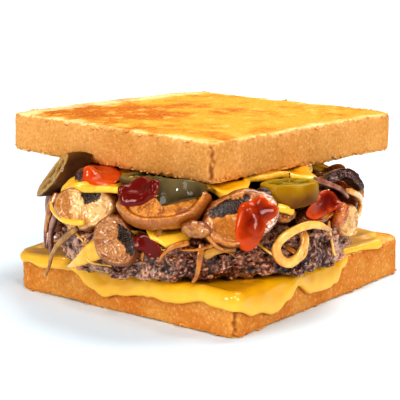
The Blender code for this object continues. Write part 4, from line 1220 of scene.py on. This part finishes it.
def ribbon_mesh(name, strips, around=20, per_stretch=14):
    """One mesh of a number of ribbons, each given by its row of sizes and a seed."""
    points, faces, rows = [], [], []
    for row, seed in strips:
        more_points, more_rows = ribbon(row, seed, around, per_stretch)
        faces += ringed_faces(len(points), len(points) + len(more_points) - 1, around)
        points += more_points
        rows += more_rows
    return new_mesh(name, points, faces, ONION_MARKS, rows)


def fried_onion(look):
    """Clear and wet: light goes some way in, and the outside is as smooth as varnish."""
    flesh, veins, tips = ONION_LOOKS[look]
    material, tree, _, (patches,), (vein, edge) = new_material(
        "Fried onion, " + look, [(4, 3)], ONION_MARKS, Roughness=0.2, Coat_Weight=0.7,
        Coat_Roughness=0.03, Subsurface_Weight=0.22, Subsurface_Scale=0.5,
        Subsurface_Radius=(3 * MM, 1.5 * MM, 0.5 * MM),
    )
    coats = [(vein, 0.3, veins), (patches, 0.44, 0.62, 0.8, veins), (edge, 0.85, tips)]
    finish(tree, laid_over(tree, flesh, *coats), patches, 0.9 * MM, 0.6)
    return material


onion_looks = {look: fried_onion(look) for look in ONION_LOOKS}
for number, (node, row) in enumerate(ONIONS.items()):
    strip = ribbon_mesh(node, [(row, number * SEED_STEP)])
    add_topping(node, strip, "_fried", onion_looks[row["look"]], "onion")


# Jalapenos. Thick rings cut across pickled peppers: a smooth glossy skin gone olive in the brine,
# a firm wall, and on both cut faces three sunken chambers with thin walls between them and seeds.
JALAPENO_RADIUS = 10.5 * MM
WALL_FROM = 0.74
CHAMBER_DEPTH = 1.7 * MM
CORE_SPAN = (0.16, 0.3)
SEED_ACROSS, SEED_SHAPE, SEED_LEAN = 2.4 * MM, (1.0, 0.85, 0.35), 0.7
SEEDS_PER_SQUARE_METRE = 8e4

# at is a place for stand(), thick in millimetres, slant how far the back face of a ring cut aslant is
# shifted along X and Y, wedge how much it slopes along X, and look one of the finishes below.
JALAPENOS = {
    "jalapeno_ring_01": dict(at=(-138, 57, 45, 0, -38, 9), thick=7, slant=(3, 6.5), look="brown olive"),
    "jalapeno_ring_02": dict(at=(-85, 37, 50.4, 0, -90, 0), thick=2.6, look="grey olive"),
    "jalapeno_ring_03": dict(at=(-62.5, 49, 46.8, 0, -116, 0), thick=9.0, wedge=-0.4, look="grey olive"),
    "jalapeno_ring_04": dict(at=(-15, 51.5, 47.4, 0, -94, 0), thick=8, wedge=-0.1, look="yellow olive"),
    "jalapeno_ring_05": dict(at=(100, 44, 50.2, 0, -90, 0), thick=2.8, look="yellow olive"),
    "jalapeno_ring_06": dict(at=(166, 44, 50.2, 0, -90, 0), thick=2.8, look="brown olive"),
}
# Skin, its darker patches (also the painted shade toward a ring's back face), wall and chambers.
JALAPENO_LOOKS = {
    "brown olive": ("5E380A", "341604", "B8945C", "7E5A2A"),
    "grey olive": ("70603E", "34240C", "7A6C44", "54441E"),
    "yellow olive": ("AA8004", "6C3E04", "A08410", "4E3A0C"),
}
JALAPENO_MARKS = ["skin", "chamber", "behind"]


def jalapeno_ring(name, row, seed):
    """Rows of points from the middle of one cut face, round the skin, to the middle of the other."""
    around, face_steps, skin_steps = 132, 40, 14
    thick = row["thick"] * MM
    place = stand(*row["at"])
    slant = Vector((*row.get("slant", (0, 0)), 0.0)) * MM
    profile = [(i / face_steps, 1.0, 0.0) for i in range(1, face_steps + 1)]
    profile += [(1.0, 1.0 - 2.0 * i / skin_steps, 1.0) for i in range(1, skin_steps)]
    profile += [(i / face_steps, -1.0, 0.0) for i in range(face_steps, 0, -1)]
    points, rows = [], []

    def put(share, level, on_skin, a):
        """Add a point at a share of the radius, from level 1 in front to -1 behind, and its marks."""
        direction = polar(a)
        lobed = 1.0 + 0.03 * math.cos(3 * a + seed) + 0.04 * waves(direction, 1.5, seed)
        bulge = 1.0 + 0.03 * (1.0 - level ** 2) * on_skin
        flat = direction * share * JALAPENO_RADIUS * lobed * bulge
        spot = flat + Vector((0.0, 0.0, level * thick))
        walls = abs(math.sin(1.5 * (a + 0.25 * waves(spot, 4 * MM, seed))))
        inside = (1.0 - ramp(share, WALL_FROM - 0.09, WALL_FROM)) * (1.0 - on_skin)
        chamber = inside * ramp(share, *CORE_SPAN) * ramp(walls, 0.1, 0.3)
        depth = min(CHAMBER_DEPTH, 0.3 * thick)
        core = inside * (1.0 - ramp(share, *CORE_SPAN)) * 0.3
        rough = 0.2 * MM * waves(spot, 2 * MM, seed) * (1.0 - on_skin)
        high = thick / 2 - depth * (chamber + core) + rough
        high -= 0.35 * MM * ramp(share, 0.93, 1.0)
        high += flat.x * row.get("wedge", 0.0) * (1.0 - level) / 2
        points.append(place @ (flat + slant * (1.0 - level) / 2 + Vector((0.0, 0.0, level * high))))
        # The last mark runs from 0 on the front face to 1 on the back one, where the skin is painted browner
        # as painted shade.
        rows.append((max(on_skin, ramp(share, 0.94, 1.0)), chamber, (1.0 - level) / 2))

    put(0.0, 1.0, 0.0, 0.0)
    for share, level, on_skin in profile:
        for k in range(around):
            put(share, level, on_skin, 2 * math.pi * k / around)
    put(0.0, -1.0, 0.0, 0.0)
    return new_mesh(name, points, ringed_faces(0, len(points) - 1, around), JALAPENO_MARKS, rows)


def pickled_jalapeno(look):
    """Waxy wet skin, cut wall and chambers, all under the same clear shine."""
    skin_colour, patch_colour, wall, chamber_colour = JALAPENO_LOOKS[look]
    material, tree, _, (patches, fibres), (skin, chamber, behind) = new_material(
        "Pickled jalapeno, " + look, [(10, 2), (1.0, 2)], JALAPENO_MARKS, Roughness=0.4,
        Specular_IOR_Level=0.1, Coat_Weight=0.3, Coat_Roughness=0.05, Subsurface_Weight=0.06,
        Subsurface_Scale=0.5, Subsurface_Radius=(1.5 * MM, 1.5 * MM, 0.4 * MM),
    )
    # Painted shade: the skin is painted browner toward the ring's back face, besides its random patches.
    browner = add_node(tree, "ShaderNodeMath", [behind, 0.4, patches], operation="MULTIPLY_ADD")
    skin_paint = laid_over(tree, skin_colour, (browner, 0.45, 0.95, 1.0, patch_colour))
    coats = [(chamber, 0.9, chamber_colour), (fibres, 0.55, 0.75, 0.6, patch_colour)]
    colour = laid_over(tree, wall, *coats, (skin, 1.0, skin_paint))
    bump = finish(tree, colour, fibres, 0.2 * MM, 0.25)
    tree.links.new(bump, tree.nodes["Principled BSDF"].inputs["Coat Normal"])
    return material


def jalapeno_seeds(name, material):
    """Flat round seeds in the chambers of the cut faces, more or less lying down."""
    tree, given = start_tree(name, ["Per Square Metre", "Across", "Seed"])
    chamber = add_node(tree, "GeometryNodeInputNamedAttribute", {"Name": "chamber"}, data_type="FLOAT")
    deep = add_node(tree, "ShaderNodeMath", [chamber, 0.5], operation="GREATER_THAN")
    span = {0: (-SEED_LEAN, -SEED_LEAN, 0.0), 1: (SEED_LEAN, SEED_LEAN, 2 * math.pi)}
    leans = add_node(tree, "FunctionNodeRandomValue", span, data_type="FLOAT_VECTOR")
    half = add_node(tree, "ShaderNodeMath", [given["Across"], 0.5], operation="MULTIPLY")
    size = add_node(tree, "ShaderNodeVectorMath", {0: SEED_SHAPE, "Scale": half}, operation="SCALE")
    end_tree(tree, lumps_on(tree, given, deep, leans, size, detail=2), material)
    return tree


jalapeno_looks = {look: pickled_jalapeno(look) for look in JALAPENO_LOOKS}
seed_coat, seed_tree, _, (tone,), _ = new_material(
    "Jalapeno seed coat", [(2, 2)], Roughness=0.35, Coat_Weight=0.4
)
seed_paint = laid_over(seed_tree, "C9B470", (tone, 0.4, 0.65, 0.9, "8E7434"))
seed_tree.links.new(seed_paint, seed_tree.nodes["Principled BSDF"].inputs["Base Color"])
seeding = jalapeno_seeds("Jalapeno seeds", seed_coat)
for number, (node, row) in enumerate(JALAPENOS.items()):
    ring = jalapeno_ring(node, row, number * SEED_STEP)
    add_topping(node, ring, "_pickled", jalapeno_looks[row["look"]], "jalapeno")
    sizes = {"Per Square Metre": SEEDS_PER_SQUARE_METRE, "Across": SEED_ACROSS, "Seed": number}
    seeds = reshaped(ring, "NODES", sizes, node_group=seeding)
    add_piece(node + "_seeds", seeds, seed_coat, "jalapeno")


# Onion shreds. The thin ends and outer threads of the same fried onions, which stick to whatever
# they fall on: round the patty's side and over the pieces of the heap.
SHRED_COUNT, SHRED_STEPS, SHRED_STRETCH = 26, 6, 3.4
SHRED_START_HEIGHTS, SHRED_HEADINGS = (30, 39), [-150, -120, -60, -30]
SHRED_WIDTHS, SHRED_THICK = (1.6, 2.6), 1.1
SHRED_LOWEST, SHRED_FARTHEST, SHRED_LIFT = 21.0, 61.5, 0.3
shred_dice = random.Random(12)


def first_hit(start, towards, trees, missed):
    """How far from a place the first surface lies in a direction, or missed where there is none."""
    hits = [tree.ray_cast(start, towards)[3] for tree in trees]
    return min([hit for hit in hits if hit is not None], default=missed)


def skin_distance(theta, z, trees):
    """How far from the patty's axis, in millimetres, the outermost surface lies at a place."""
    seen_from = 90.0
    start = stand(theta, seen_from, z).translation
    inward = (PATTY_AXIS + Vector((0.0, 0.0, z * MM)) - start).normalized()
    return seen_from - first_hit(start, inward, trees, (seen_from - PATTY_RADIUS / MM) * MM) / MM


def shapes_of(pieces):
    """The pieces' surfaces, as the trees that ray_cast looks in."""
    bpy.context.view_layer.update()
    seen_now = bpy.context.evaluated_depsgraph_get()
    return [BVHTree.FromObject(piece, seen_now) for piece in pieces]


under_trees = shapes_of([sheets["cheese_top"], sheets["cheese_middle"], patty, *toppings.values()])
shreds = {"golden": [], "amber": []}
for number in range(SHRED_COUNT):
    theta = 360.0 * (number + shred_dice.uniform(-0.4, 0.4)) / SHRED_COUNT
    z = shred_dice.uniform(*SHRED_START_HEIGHTS)
    heading = math.radians(shred_dice.choice(SHRED_HEADINGS) + shred_dice.uniform(-15, 15))
    route = []
    for _ in range(SHRED_STEPS):
        distance = min(skin_distance(theta, z, under_trees), SHRED_FARTHEST) + SHRED_LIFT
        route.append((theta, distance, z))
        theta += SHRED_STRETCH * math.cos(heading)
        z = max(z + SHRED_STRETCH * math.sin(heading), SHRED_LOWEST)
        heading += shred_dice.uniform(-0.1, 0.35)
    row = dict(route=route, size=(shred_dice.uniform(*SHRED_WIDTHS), SHRED_THICK), ends=(1.0, 0.5))
    shreds[shred_dice.choice(["golden", "amber"])].append((row, number))
shred_pieces = []
for look, strips in shreds.items():
    shred_mesh = ribbon_mesh(look, strips, around=10, per_stretch=7)
    shred_pieces.append(add_piece("onion_shreds_" + look, shred_mesh, onion_looks[look], "onion"))


# Cheese drips. Two runs of the upper sheet that set on the mushrooms under it, as thick soft drops.
CHEESE_DRIPS = [
    dict(
        route=[
            (-120, 62.4, 40.2), (-116, 63.2, 38.2), (-111, 63.2, 36.6), (-106, 63, 35.9),
            (-101, 62.2, 36.0), (-97, 61.4, 36.6),
        ],
        size=(3.6, 2.2), ends=(0.4, 0.7),
    ),
    dict(route=[(-26, 58.6, 44.4), (-22.6, 59.4, 43.4), (-19.6, 59, 42)], size=(3.2, 2.4)),
]
drips = ribbon_mesh("cheese_drips", [(row, 3.0) for row in CHEESE_DRIPS])
# The whole of each drip is painted pale, as a painted sheen.
set_marks(drips, ["thinned"], [[1.0]] * len(drips.vertices))
add_piece("cheese_drips", drips, cheese_wax, "cheese")


# Ketchup. Thick smears squeezed over the toppings after they were stacked: they follow what they
# lie on, pull into rounded edges and run down in drops. Smooth, see-through at the rim, very shiny.
# size is a smear's width, height and depth in millimetres, dark how much darker than the others it
# is painted, as painted shade, and tongue the angle at which it has run out into one, how far and how narrow.
DEEP_SAUCE = 3.0 * MM
KETCHUP = {
    "ketchup_01": dict(at=(-112, 44.5, 51.8, -29, -86, 0), size=(29, 15, 1.6), tongue=(0, 0.0, 4)),
    "ketchup_02": dict(at=(-76.5, 55, 50.4, 0, -42, 0), size=(16, 14, 3.0), dark=0.6, tongue=(-110, 2.0, 3)),
    "ketchup_03": dict(at=(-72, 60.0, 31.2, -30, -8, 0), size=(11, 6.5, 1.5), dark=0.6, tongue=(-60, 1.0, 4)),
    "ketchup_04": dict(at=(-33.6, 60.6, 44.0, 8, -20, -6), size=(15.5, 10, 2.4), tongue=(-121, 8.5, 5)),
    "ketchup_05": dict(at=(0, 59.5, 44.0, -14, -26, 0), size=(13, 8.5, 2.6), tongue=(207, 8, 8)),
    "ketchup_06": dict(at=(118, 58, 47.4, 0, -50, 0), size=(14, 11, 2.6), tongue=(-90, 5.0, 6)),
}


def smoothed_heights(grid, passes):
    """A grid of heights after each has been drawn toward its neighbours a number of times."""
    for _ in range(passes):
        smoothed = {}
        for (i, j), high in grid.items():
            beside = [grid.get(spot, high) for spot in ((i + 1, j), (i - 1, j), (i, j + 1), (i, j - 1))]
            smoothed[i, j] = (2 * high + sum(beside)) / 6
        grid = smoothed
    return grid


def draped_height(place, half, trees):
    """How high what lies under a smear reaches at (x, y) of its plane, smoothed over."""
    cell, deepest, highest_ridge = 0.7 * MM, 3.5 * MM, 1.5 * MM
    slackened, settled = 22, 3
    count = int(half / cell)
    seen_from = 14.0 * MM
    inward = place.to_3x3() @ Vector((0.0, 0.0, -1.0))
    grid = {}
    for i in range(-count, count + 1):
        for j in range(-count, count + 1):
            start = place @ Vector((i * cell, j * cell, seen_from))
            near = first_hit(start, inward, trees, seen_from + deepest)
            grid[i, j] = max(seen_from - near, -deepest)
    draped = smoothed_heights(grid, slackened)
    over_ridges = {spot: max(high, min(grid[spot], high + highest_ridge)) for spot, high in draped.items()}
    grid = smoothed_heights(over_ridges, settled)

    def height_at(x, y):
        """Between the four points of the grid round a place."""
        u, v = min(max(x / cell, -count), count - 0.001), min(max(y / cell, -count), count - 0.001)
        i, j = math.floor(u), math.floor(v)
        u, v = u - i, v - j
        low_side = grid[i, j] * (1 - u) + grid[i + 1, j] * u
        high_side = grid[i, j + 1] * (1 - u) + grid[i + 1, j + 1] * u
        return low_side * (1 - v) + high_side * v

    return height_at


def smear(name, row, seed, trees):
    """A rounded skin of sauce over whatever it has been put on."""
    place = stand(*row["at"])
    width, height, depth = (s * MM for s in row["size"])
    towards, run, narrow = row["tongue"]
    height_at = draped_height(place, max(width, height) / 2 * 1.15 + run * MM, trees)
    sunk = 0.5 * MM
    # How much darker this smear is painted, as painted shade.
    richer = row.get("dark", 0.0)

    def outline_at(a):
        c, s = math.cos(a), math.sin(a)
        oval = 1.0 / math.hypot(c / (width / 2), s / (height / 2))
        tongue = run * MM * max(math.cos(a - math.radians(towards)), 0.0) ** narrow
        return oval * (1.0 + 0.22 * waves(polar(a), 0.8, seed)) + tongue

    def surface_at(x, y, share, facing):
        base = height_at(x, y)
        if facing < 0:
            return base - sunk, richer
        dome = math.sqrt(max(1.0 - share ** 2.6, 0.0))
        # The deep mark: how thick the sauce is, plus the painted shade of the smears set darker.
        deep = dome * depth / DEEP_SAUCE + richer
        uneven = 1.0 + 0.3 * waves(Vector((x, y, 0.0)), 5 * MM, seed)
        return base - sunk * share ** 8 + depth * dome * uneven * 0.8, deep

    return pad_mesh(name, place, outline_at, surface_at, ["deep"], around=90, rings=30, flat_to=0.97)


def ketchup_paint():
    """Tomato red, brighter where it is thin, darker where it is thick and where painted shade is set, under
    an even wet shine.
    """
    material, tree, _, (pulp,), (deep,) = new_material(
        "Ketchup", [(4, 3)], ["deep"], Roughness=0.2, Specular_IOR_Level=0.25, Coat_Weight=0.25,
        Coat_Roughness=0.04, Subsurface_Weight=0.1, Subsurface_Scale=0.4,
        Subsurface_Radius=(2 * MM, 0.6 * MM, 0.2 * MM),
    )
    # Thick sauce and painted shade both darken the red.
    thicker = add_node(tree, "ShaderNodeMath", [pulp, 0.6, deep], operation="MULTIPLY_ADD")
    finish(tree, laid_over(tree, "C84C04", (thicker, 0.7, 1.2, 0.95, "640602")), pulp, 0.5 * MM, 0.25)
    return material


sauce = ketchup_paint()
under_trees += shapes_of(shred_pieces)
for number, (node, row) in enumerate(KETCHUP.items()):
    add_piece(node + "_smear", smear(node, row, number * SEED_STEP, under_trees), sauce, "ketchup", [node])


# Crumbs. Flakes of toasted crust that hang on the torn rims of both slices, of 1 to 2 mm.
for node, piece in slices.items():
    strewn(
        node + "_crumbs", piece.data, piece.data.materials[0], "bread", per=1.6e5,
        size=(2.4, 1.6, 1.1), dents=(1.0, 0.9), steepness=0.95, seed=8, detail=2, where="rim",
    )


# Camera, floor and light. The camera stands where the photograph's did; the floor is plain and pale.
# Wide soft lights reach the melt from above and behind, from the right and from the left, smaller
# ones set a sheen on its fat and on the lips of its cheese, and two narrow ones its sharp glints.
CAMERA_PLACE = (0.29685, -0.38508, 0.134)
CAMERA_AIM = (-0.00445, -0.00351, 0.0333)
CAMERA_LENS, CAMERA_FILM, CAMERA_NEAREST = 109.2, 36.0, 0.01
FLOOR_REACH = 20.0
SKY_STRENGTH = 0.17
# Where each soft light comes from, how wide it looks in degrees, and its strength.
SOFT_LIGHTS = {
    "Light above": dict(place=(0.12, 0.55, 1.0), width=32, power=1.2),
    "Light behind": dict(place=(-0.3, 0.7, 0.72), width=36, power=0.4),
    "Light right": dict(place=(0.95, -0.2, 0.38), width=20, power=0.85),
    "Light left": dict(place=(-0.3, -0.95, 0.36), width=22, power=1.0),
    "Light for sheen": dict(place=(0.5, -0.34, 0.72), width=16, power=0.45),
    "Light for lips": dict(place=(-0.6, -0.2, 0.75), width=8, power=0.35),
    "Light for glints": dict(place=(0.3, -0.8, 0.75), width=4, power=0.4),
    "Light for glints, right": dict(place=(0.9, -0.4, 0.6), width=4, power=0.25),
}


def aimed(name, data, place, aim):
    """A camera or lamp that stands at a place and looks at another."""
    made = new_object(name, data)
    made.location = place
    made.rotation_euler = (Vector(aim) - Vector(place)).to_track_quat("-Z", "Y").to_euler()
    return made


lens = bpy.data.cameras.new("Camera")
lens.lens = CAMERA_LENS
lens.sensor_width = CAMERA_FILM
lens.clip_start = CAMERA_NEAREST
bpy.context.scene.camera = aimed("Camera", lens, CAMERA_PLACE, CAMERA_AIM)

corners = [(x * FLOOR_REACH, y * FLOOR_REACH, 0.0) for x, y in ((-1, -1), (1, -1), (1, 1), (-1, 1))]
floor = new_object("Floor", new_mesh("Floor", corners, [(0, 1, 2, 3)]))
floor_paint, *_ = new_material("Pale matt board", Roughness=0.9, Base_Color=tint("E0EAF2"))
floor.data.materials.append(floor_paint)
floor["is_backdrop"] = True

for name, row in SOFT_LIGHTS.items():
    lamp = bpy.data.lights.new(name, "SUN")
    lamp.angle = math.radians(row["width"])
    lamp.energy = row["power"]
    aimed(name, lamp, row["place"], (0.0, 0.0, 0.0))
world = bpy.data.worlds.new("Studio")
world.use_nodes = True
sky = world.node_tree.nodes["Background"]
sky.inputs["Color"].default_value = tint("FFFFFF")
sky.inputs["Strength"].default_value = SKY_STRENGTH
scene = bpy.context.scene
scene.world = world
scene.view_settings.view_transform = "Standard"
scene.view_settings.look = "High Contrast"

low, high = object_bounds()
